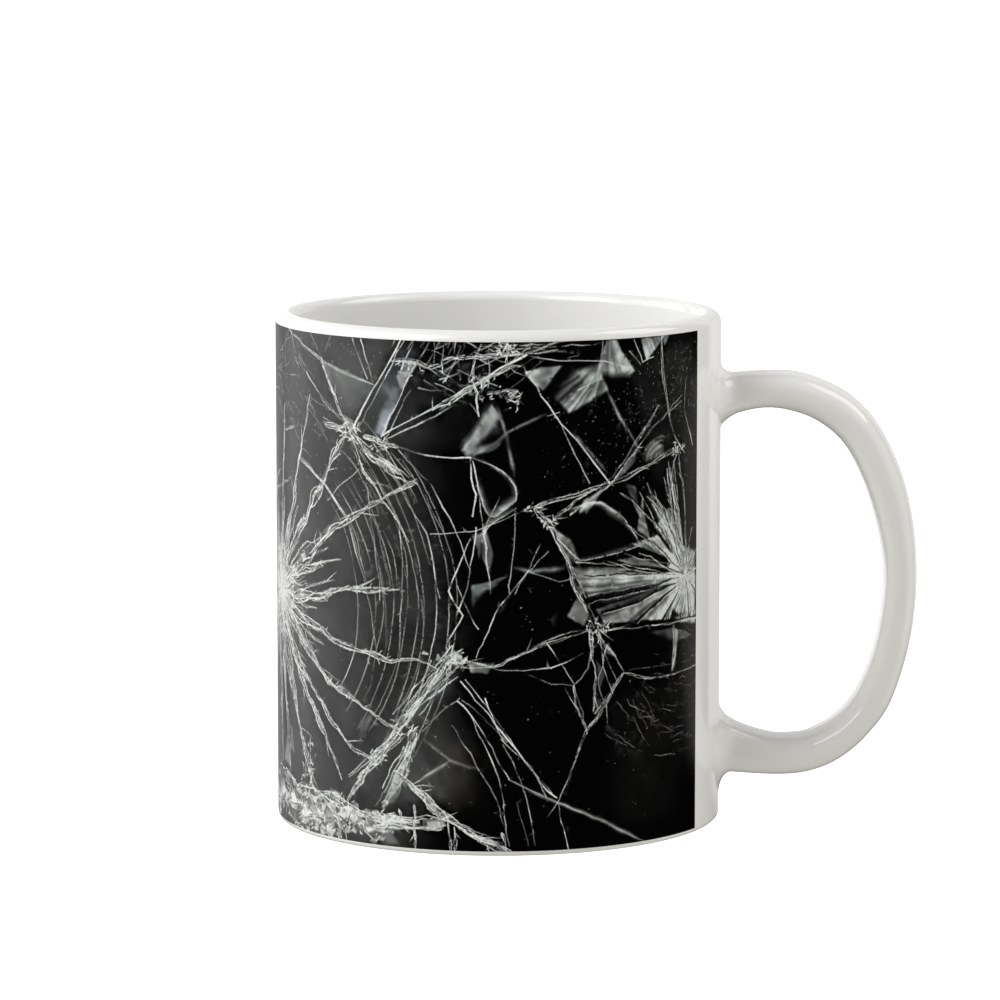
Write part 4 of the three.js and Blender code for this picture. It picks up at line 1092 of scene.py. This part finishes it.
def draw_picture():
    pic = Picture(20417)
    draw_far(pic)
    draw_front(pic)
    r = pic.rng
    h, w = pic.h, pic.w
    # the veils get wavy edges and a cloudy body
    dx = cloud(r, h, w, 60) * 3.5 + cloud(r, h, w, 21) * 1.3
    dy = cloud(r, h, w, 55) * 3.5 + cloud(r, h, w, 19) * 1.3
    y = np.clip(np.arange(h)[:, None] + dy, 0, h - 1).astype(int)
    x = np.clip(np.arange(w)[None] + dx, 0, w - 1).astype(int)
    veil = soften(pic.V[y, x], 1.1)
    veil = veil * np.clip(0.92 + 0.3 * cloud(r, h, w, 31) + 0.2 * cloud(r, h, w, 11), 0.2, 1.4) * (0.25 + 0.75 * pic.D)
    # the ground holds a painted reflection of the left softbox over the left of the front
    base, warm = ground(pic)
    base = base * np.clip(1 + 0.16 * cloud(r, h, w, 40), 0.5, 1.5)
    lines = soften(np.clip(pic.L, 0, 1), 0.45)
    lines = np.clip(1.22 * lines ** 0.85, 0, 1)
    veil = np.clip(1.22 * veil, 0, 0.95)
    field = 1 - (1 - np.clip(base, 0, 1)) * (1 - veil) * (1 - lines)
    field = field + 0.45 * (field - soften(field, 3.0))
    tone = soften(pic.T, 2.0)
    tone = tone + (0.9 - tone) * np.clip(warm, 0, 1) * np.clip(1 - field * 5, 0, 1) * 0.8
    return pic, np.clip(field, 0, 1).astype(np.float32), np.clip(tone, 0, 1).astype(np.float32)


def delaunay(p):
    out = delaunay_2d_cdt([Vector((float(a), float(b))) for a, b in p], [], [], 0, 1e-6)
    v = np.array([(q[0], q[1]) for q in out[0]])
    f = np.array(out[2], dtype=np.int64)
    return v, f


def spread(v, f, w, h, values):
    """Values at the corners, carried to every step of the field inside each
    triangle; also which triangle each step is in."""
    a, b, c = v[f[:, 0]], v[f[:, 1]], v[f[:, 2]]
    x0 = np.ceil(np.minimum(np.minimum(a[:, 0], b[:, 0]), c[:, 0]) - 1e-6).astype(int)
    x1 = np.floor(np.maximum(np.maximum(a[:, 0], b[:, 0]), c[:, 0]) + 1e-6).astype(int)
    y0 = np.ceil(np.minimum(np.minimum(a[:, 1], b[:, 1]), c[:, 1]) - 1e-6).astype(int)
    y1 = np.floor(np.maximum(np.maximum(a[:, 1], b[:, 1]), c[:, 1]) + 1e-6).astype(int)
    nx, ny = np.maximum(x1 - x0 + 1, 0), np.maximum(y1 - y0 + 1, 0)
    det = (b[:, 0] - a[:, 0]) * (c[:, 1] - a[:, 1]) - (b[:, 1] - a[:, 1]) * (c[:, 0] - a[:, 0])
    det = np.where(np.abs(det) < 1e-9, 1e-9, det)
    field = np.zeros(w * h, np.float32)
    owner = np.full(w * h, -1, np.int32)
    count = nx * ny
    step = 60000
    for s in range(0, len(f), step):
        k = slice(s, s + step)
        n = count[k]
        t = np.repeat(np.arange(s, min(s + step, len(f))), n)
        loc = np.arange(n.sum()) - np.repeat(np.cumsum(n) - n, n)
        px = x0[t] + loc % nx[t]
        py = y0[t] + loc // nx[t]
        dx, dy = px - a[t, 0], py - a[t, 1]
        u = (dx * (c[t, 1] - a[t, 1]) - dy * (c[t, 0] - a[t, 0])) / det[t]
        q = (dy * (b[t, 0] - a[t, 0]) - dx * (b[t, 1] - a[t, 1])) / det[t]
        ok = (u >= -1e-7) & (q >= -1e-7) & (u + q <= 1 + 1e-7)
        t, px, py, u, q = t[ok], px[ok], py[ok], u[ok], q[ok]
        val = values[f[t, 0]] * (1 - u - q) + values[f[t, 1]] * u + values[f[t, 2]] * q
        at = py * w + px
        field[at] = val
        owner[at] = t
    return field.reshape(h, w), owner


def adapt(L, weight, budget, grid=22):
    """Points of a triangle mesh over the field L, close where it has detail."""
    h, w = L.shape
    gx = np.unique(np.round(np.linspace(0, w - 1, (w - 1) // grid + 1)).astype(int))
    gy = np.unique(np.round(np.linspace(0, h - 1, (h - 1) // grid + 1)).astype(int))
    taken = np.zeros((h, w), bool)
    taken[np.ix_(gy, gx)] = True
    taken[0, ::11] = taken[-1, ::11] = True
    taken[::11, 0] = taken[::11, -1] = True
    taken[0, -1] = taken[-1, -1] = taken[-1, 0] = True
    rounds = 8
    start = taken.sum()
    for k in range(rounds + 1):
        y, x = np.nonzero(taken)
        p = np.stack([x, y], 1).astype(float)
        v, f = delaunay(p)
        vi = np.round(v).astype(int)
        values = L[vi[:, 1], vi[:, 0]]
        if k == rounds:
            break
        field, owner = spread(v, f, w, h, values)
        err = (np.abs(L - field) * weight).ravel()
        err[taken.ravel()] = 0
        goal = int(start + (budget - start) * ((k + 1) / rounds) ** 1.25)
        room = goal - taken.sum()
        if room <= 0:
            continue
        # of each triangle, the step with the greatest error
        good = np.nonzero((owner >= 0) & (err > 0.004))[0]
        order = good[np.lexsort((-err[good], owner[good]))]
        first = np.ones(len(order), bool)
        first[1:] = owner[order[1:]] != owner[order[:-1]]
        best = order[first]
        # how much a triangle is worth: its summed error
        total = np.bincount(owner[good], weights=err[good], minlength=len(f))
        score = err[best] * 0.6 + total[owner[best]] * 0.4 / 3
        score = err[best] * np.sqrt(total[owner[best]] + 1e-6)
        pick = best[np.argsort(-score)[:room]]
        # the picked steps become points of the mesh
        taken.ravel()[pick] = True
    return v, f, values


def panel(name, field, tone, i0, i1, budget, weight):
    """One stretch of the print as a thin closed film: the picture on its
    front, a plain back just inside the wall, and the edge between them."""
    f, t = field[:, i0:i1 + 1], tone[:, i0:i1 + 1]
    h, w = f.shape
    v, faces, _ = adapt(f, np.broadcast_to(weight[None, i0:i1 + 1], f.shape), budget)
    at = np.round(v).astype(int)
    bright, cast = f[at[:, 1], at[:, 0]], t[at[:, 1], at[:, 0]]

    def mm(p):
        s = np.clip(PRINT_S0 + (i0 + p[:, 0]) / Picture.K, PRINT_S0, PRINT_S1)
        z = np.clip(PRINT_Z0 + p[:, 1] / Picture.K, PRINT_Z0, PRINT_Z1)
        return s, z

    def turned(p, fs):
        a, b, c = p[fs[:, 0]], p[fs[:, 1]], p[fs[:, 2]]
        area = (b[:, 0] - a[:, 0]) * (c[:, 1] - a[:, 1]) - (b[:, 1] - a[:, 1]) * (c[:, 0] - a[:, 0])
        fs = fs[np.abs(area) > 1e-9].copy()
        area = area[np.abs(area) > 1e-9]
        fs[area < 0] = fs[area < 0][:, ::-1]
        return fs
    faces = turned(v, faces)

    def border(p):
        x, y = p[:, 0], p[:, 1]
        k = np.arange(len(p))
        low, right = k[y == 0], k[(x == w - 1) & (y > 0)]
        top, left = k[(y == h - 1) & (x < w - 1)], k[(x == 0) & (y > 0) & (y < h - 1)]
        return np.concatenate([low[np.argsort(x[low])], right[np.argsort(y[right])],
                               top[np.argsort(-x[top])], left[np.argsort(-y[left])]])
    loop = border(at)
    gx, gy = np.linspace(0, w - 1, 2 + w // 22)[1:-1], np.linspace(0, h - 1, 8)[1:-1]
    plain = np.array([(a, b) for a in gx for b in gy])
    bv, bf = delaunay(np.vstack([at[loop].astype(float), plain]))
    bf = turned(bv, bf)[:, ::-1]
    bloop = border(bv)
    if len(bloop) != len(loop) or np.abs(bv[bloop] - at[loop]).max() > 1e-6:
        raise RuntimeError("the film's two sides don't meet")

    def wrap(p, radius):
        s, z = mm(p)
        a = s / R
        return np.stack([radius * np.sin(a) + AXIS_X, -radius * np.cos(a), z], 1), \
            np.stack([np.sin(a), -np.cos(a), 0 * a], 1)
    front, fn = wrap(v, R + PRINT_PROUD)
    back, bn = wrap(bv, R - 0.03)
    n, m = len(loop), len(v)
    a, b = loop, np.roll(loop, -1)
    c, d = np.roll(bloop, -1) + m, bloop + m
    side = np.vstack([np.stack([a, d, b], 1), np.stack([b, d, c], 1)])
    every = np.vstack([faces, bf + m, side]).astype(np.int32)
    verts, norms = np.vstack([front, back]), np.vstack([fn, -bn])
    mesh = bpy.data.meshes.new(name)
    mesh.vertices.add(len(verts))
    mesh.vertices.foreach_set("co", (verts * 1e-3).astype(np.float32).ravel())
    mesh.loops.add(len(every) * 3)
    mesh.loops.foreach_set("vertex_index", every.ravel())
    mesh.polygons.add(len(every))
    mesh.polygons.foreach_set("loop_start", np.arange(0, len(every) * 3, 3, dtype=np.int32))
    mesh.update(calc_edges=True)
    mesh.polygons.foreach_set("use_smooth", np.ones(len(every), bool))
    # the map that carries the picture: across is brightness, up is the cast;
    # each point is moved a hair, so that every triangle keeps room in the map
    rng = np.random.RandomState(7)
    u = np.full(len(verts), 0.02)
    q = np.full(len(verts), 0.5)
    u[:m], q[:m] = bright, cast
    u = 0.01 + 0.975 * u + 0.003 * rng.rand(len(verts))
    q = 0.02 + 0.93 * q + 0.03 * rng.rand(len(verts))
    layer = mesh.uv_layers.new(name="OFBake")
    layer.data.foreach_set("uv", np.stack([u, q], 1)[every.ravel()].astype(np.float32).ravel())
    mesh.normals_split_custom_set_from_vertices(norms)
    mesh.update()
    piece = bpy.data.objects.new(name, mesh)
    bpy.context.scene.collection.objects.link(piece)
    print(name, len(every), "triangles")
    return piece


# ---------------------------------------------------------------- materials
def nodes_of(name):
    mat = bpy.data.materials.new(name)
    mat.use_nodes = True
    nt = mat.node_tree
    return mat, nt, nt.nodes["Principled BSDF"]


def ramp(nt, fac, stops):
    n = nt.nodes.new("ShaderNodeValToRGB")
    while len(n.color_ramp.elements) > 1:
        n.color_ramp.elements.remove(n.color_ramp.elements[-1])
    n.color_ramp.elements[0].position = stops[0][0]
    n.color_ramp.elements[0].color = (*stops[0][1], 1)
    for pos, col in stops[1:]:
        e = n.color_ramp.elements.new(pos)
        e.color = (*col, 1)
    nt.links.new(fac, n.inputs["Fac"])
    return n.outputs["Color"]


def noise(nt, scale, detail=3, rough=0.5):
    tc = nt.nodes.new("ShaderNodeTexCoord")
    n = nt.nodes.new("ShaderNodeTexNoise")
    n.inputs["Scale"].default_value = scale
    n.inputs["Detail"].default_value = detail
    n.inputs["Roughness"].default_value = rough
    nt.links.new(tc.outputs["Object"], n.inputs["Vector"])
    return n.outputs["Fac"]


def multiply(nt, a, b, amount=1.0):
    mix = nt.nodes.new("ShaderNodeMix")
    mix.data_type, mix.blend_type = "RGBA", "MULTIPLY"
    mix.inputs["Factor"].default_value = amount
    nt.links.new(a, mix.inputs[6])
    nt.links.new(b, mix.inputs[7])
    return mix.outputs[2]


def glaze():
    mat, nt, p = nodes_of("white_glaze")
    tone = ramp(nt, noise(nt, 28, 2), [(0.3, (0.795, 0.795, 0.782)), (0.7, (0.83, 0.83, 0.818))])
    specks = ramp(nt, noise(nt, 900, 1), [(0.78, (1, 1, 1)), (0.84, (0.86, 0.85, 0.82))])
    nt.links.new(multiply(nt, tone, specks, 0.35), p.inputs["Base Color"])
    rough = ramp(nt, noise(nt, 60, 3), [(0.35, (0.10,) * 3), (0.7, (0.17,) * 3)])
    nt.links.new(rough, p.inputs["Roughness"])
    bump = nt.nodes.new("ShaderNodeBump")
    bump.inputs["Strength"].default_value = 0.16
    bump.inputs["Distance"].default_value = 0.0004
    nt.links.new(noise(nt, 95, 2, 0.4), bump.inputs["Height"])
    nt.links.new(bump.outputs["Normal"], p.inputs["Normal"])
    p.inputs["IOR"].default_value = 1.5
    return mat


def bisque():
    mat, nt, p = nodes_of("bare_foot_ring")
    tone = ramp(nt, noise(nt, 420, 5, 0.7), [(0.3, (0.60, 0.575, 0.53)), (0.75, (0.76, 0.745, 0.71))])
    nt.links.new(tone, p.inputs["Base Color"])
    rough = ramp(nt, noise(nt, 700, 2), [(0.3, (0.72,) * 3), (0.7, (0.9,) * 3)])
    nt.links.new(rough, p.inputs["Roughness"])
    bump = nt.nodes.new("ShaderNodeBump")
    bump.inputs["Strength"].default_value = 0.5
    bump.inputs["Distance"].default_value = 0.0003
    nt.links.new(noise(nt, 1500, 4, 0.7), bump.inputs["Height"])
    nt.links.new(bump.outputs["Normal"], p.inputs["Normal"])
    return mat


def print_ink():
    mat, nt, p = nodes_of("cracked_glass_print")
    uv = nt.nodes.new("ShaderNodeUVMap")
    uv.uv_map = "OFBake"
    sep = nt.nodes.new("ShaderNodeSeparateXYZ")
    nt.links.new(uv.outputs["UV"], sep.inputs[0])
    stops = [(x, (0.0005 + 0.93 * x ** 2.15,) * 3) for x in (0.0, .06, .12, .2, .3, .4, .5, .6, .7, .8, .9, 1.0)]
    level = ramp(nt, sep.outputs["X"], stops)
    cast = ramp(nt, sep.outputs["Y"], [(0.0, (0.82, 0.87, 1.0)), (0.3, (0.86, 0.92, 1.0)), (0.41, (0.94, 1.0, 0.98)),
                                       (0.5, (0.985, 1, 0.99)), (1.0, (1.0, 0.84, 0.66))])
    nt.links.new(multiply(nt, level, cast), p.inputs["Base Color"])
    p.inputs["Roughness"].default_value = 0.3
    p.inputs["IOR"].default_value = 1.45
    return mat


# -------------------------------------------------------------- the object
mug = build_mug()
mug.data.materials.append(glaze())
mug.data.materials.append(bisque())
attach(mug, "root")
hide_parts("mug")

pic, field, tone = draw_picture()
columns = np.arange(pic.w) / Picture.K + PRINT_S0
weight = np.where(columns > -56, 1.0, 0.8).astype(np.float32)
seam = int((-62.0 - PRINT_S0) * Picture.K)
ink = print_ink()
films = []
for name, i0, i1, budget in (("print_front", seam, pic.w - 1, 96500), ("print_back", 0, seam, 72000)):
    film = panel(name, field, tone, i0, i1, budget, weight)
    film.data.materials.append(ink)
    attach(film, "root")
    films.append(film)

# ------------------------------------------------------------------ staging
scene = bpy.context.scene
scene.view_settings.view_transform = "Standard"
scene.view_settings.look = "None"

bpy.ops.mesh.primitive_plane_add(size=14, location=(0, 0, -0.00003))
floor = bpy.context.object
floor.name = "floor"
fmat, fnt, fp = nodes_of("pale_floor")
fp.inputs["Base Color"].default_value = (0.93, 0.93, 0.93, 1)
fp.inputs["Roughness"].default_value = 0.9
fp.inputs["Specular IOR Level"].default_value = 0.0
fp.inputs["Emission Color"].default_value = (1, 1, 1, 1)
fp.inputs["Emission Strength"].default_value = 1.02
floor.data.materials.append(fmat)
floor.visible_glossy = False
floor.visible_diffuse = False

world = bpy.data.worlds.new("studio")
scene.world = world
world.use_nodes = True
wn = world.node_tree
bg = wn.nodes["Background"]
tc = wn.nodes.new("ShaderNodeTexCoord")
sx = wn.nodes.new("ShaderNodeSeparateXYZ")
wn.links.new(tc.outputs["Generated"], sx.inputs[0])
half = wn.nodes.new("ShaderNodeMath")
half.operation = "MULTIPLY_ADD"
half.inputs[1].default_value = 0.5
half.inputs[2].default_value = 0.5
wn.links.new(sx.outputs["Z"], half.inputs[0])
sky = ramp(wn, half.outputs[0], [(z, (v, 0.985 * v, 0.925 * v)) for z, v in ((0, .72), (.25, .62), (.42, .77), (.5, .6), (.6, .51), (.8, .3), (1, .07))])
wn.links.new(sky, bg.inputs["Color"])
bg.inputs["Strength"].default_value = 1.0
world.cycles_visibility.glossy = False


# some cards light only the white glaze, and one only the print
glazed, printed = bpy.data.collections.new("glazed"), bpy.data.collections.new("printed")
glazed.objects.link(mug)
for film in films:
    printed.objects.link(film)


def softbox(name, place, aim, wide, high, level, only=None, tint=(1, 1, 1)):
    data = bpy.data.lights.new(name, "AREA")
    data.shape = "RECTANGLE"
    data.size, data.size_y = wide, high
    data.energy = level * math.pi * wide * high
    data.color = tint
    light = bpy.data.objects.new(name, data)
    scene.collection.objects.link(light)
    light.location = place
    light.rotation_euler = (Vector(aim) - Vector(place)).to_track_quat("-Z", "Y").to_euler()
    light.visible_camera = False
    if only:
        light.light_linking.receiver_collection = only
    return light


axis = AXIS_X * 1e-3
centre = (axis, 0, 0.05)
softbox("left_softbox", (axis - 0.80, 0.22, 0.26), centre, 1.15, 1.0, 1.256)
softbox("edge_card", (axis - 0.42, 1.25, 0.0), centre, 0.75, 0.7, 0.6)
softbox("right_card", (axis + 0.75, -0.15, 0.2), centre, 0.9, 0.9, 0.68, glazed)
softbox("back_card", (axis + 0.1, 0.8, 0.25), centre, 1.2, 0.9, 0.74, glazed)
softbox("front_left_high", (axis - 0.55, -0.35, 0.6), centre, 0.6, 0.6, 4.9, glazed)
softbox("right_high", (axis + 0.6, 0.1, 0.7), centre, 0.5, 0.5, 3.17, glazed)
softbox("right_low", (axis + 0.75, 0.0, -0.25), centre, 0.8, 0.3, 0.3, glazed)
softbox("back_right", (axis + 0.65, 0.6, 0.2), centre, 0.6, 0.6, 0.12, glazed)
softbox("print_card", (axis - 0.25, -1.05, 0.5), centre, 0.9, 0.9, 2.1, printed, (0.97, 0.985, 1.0)).visible_glossy = False

cam_data = bpy.data.cameras.new("camera")
cam = bpy.data.objects.new("camera", cam_data)
scene.collection.objects.link(cam)
cam_data.sensor_width = 36.0
cam_data.sensor_fit = "HORIZONTAL"
cam_data.lens = 174.97
cam_data.clip_start, cam_data.clip_end = 0.01, 50
cam.location = (axis, -0.90207, 0.18088)
cam.rotation_euler = (math.radians(90 - 7.669), 0, -0.000326)
scene.camera = cam
bpy.context.scene.camera = cam
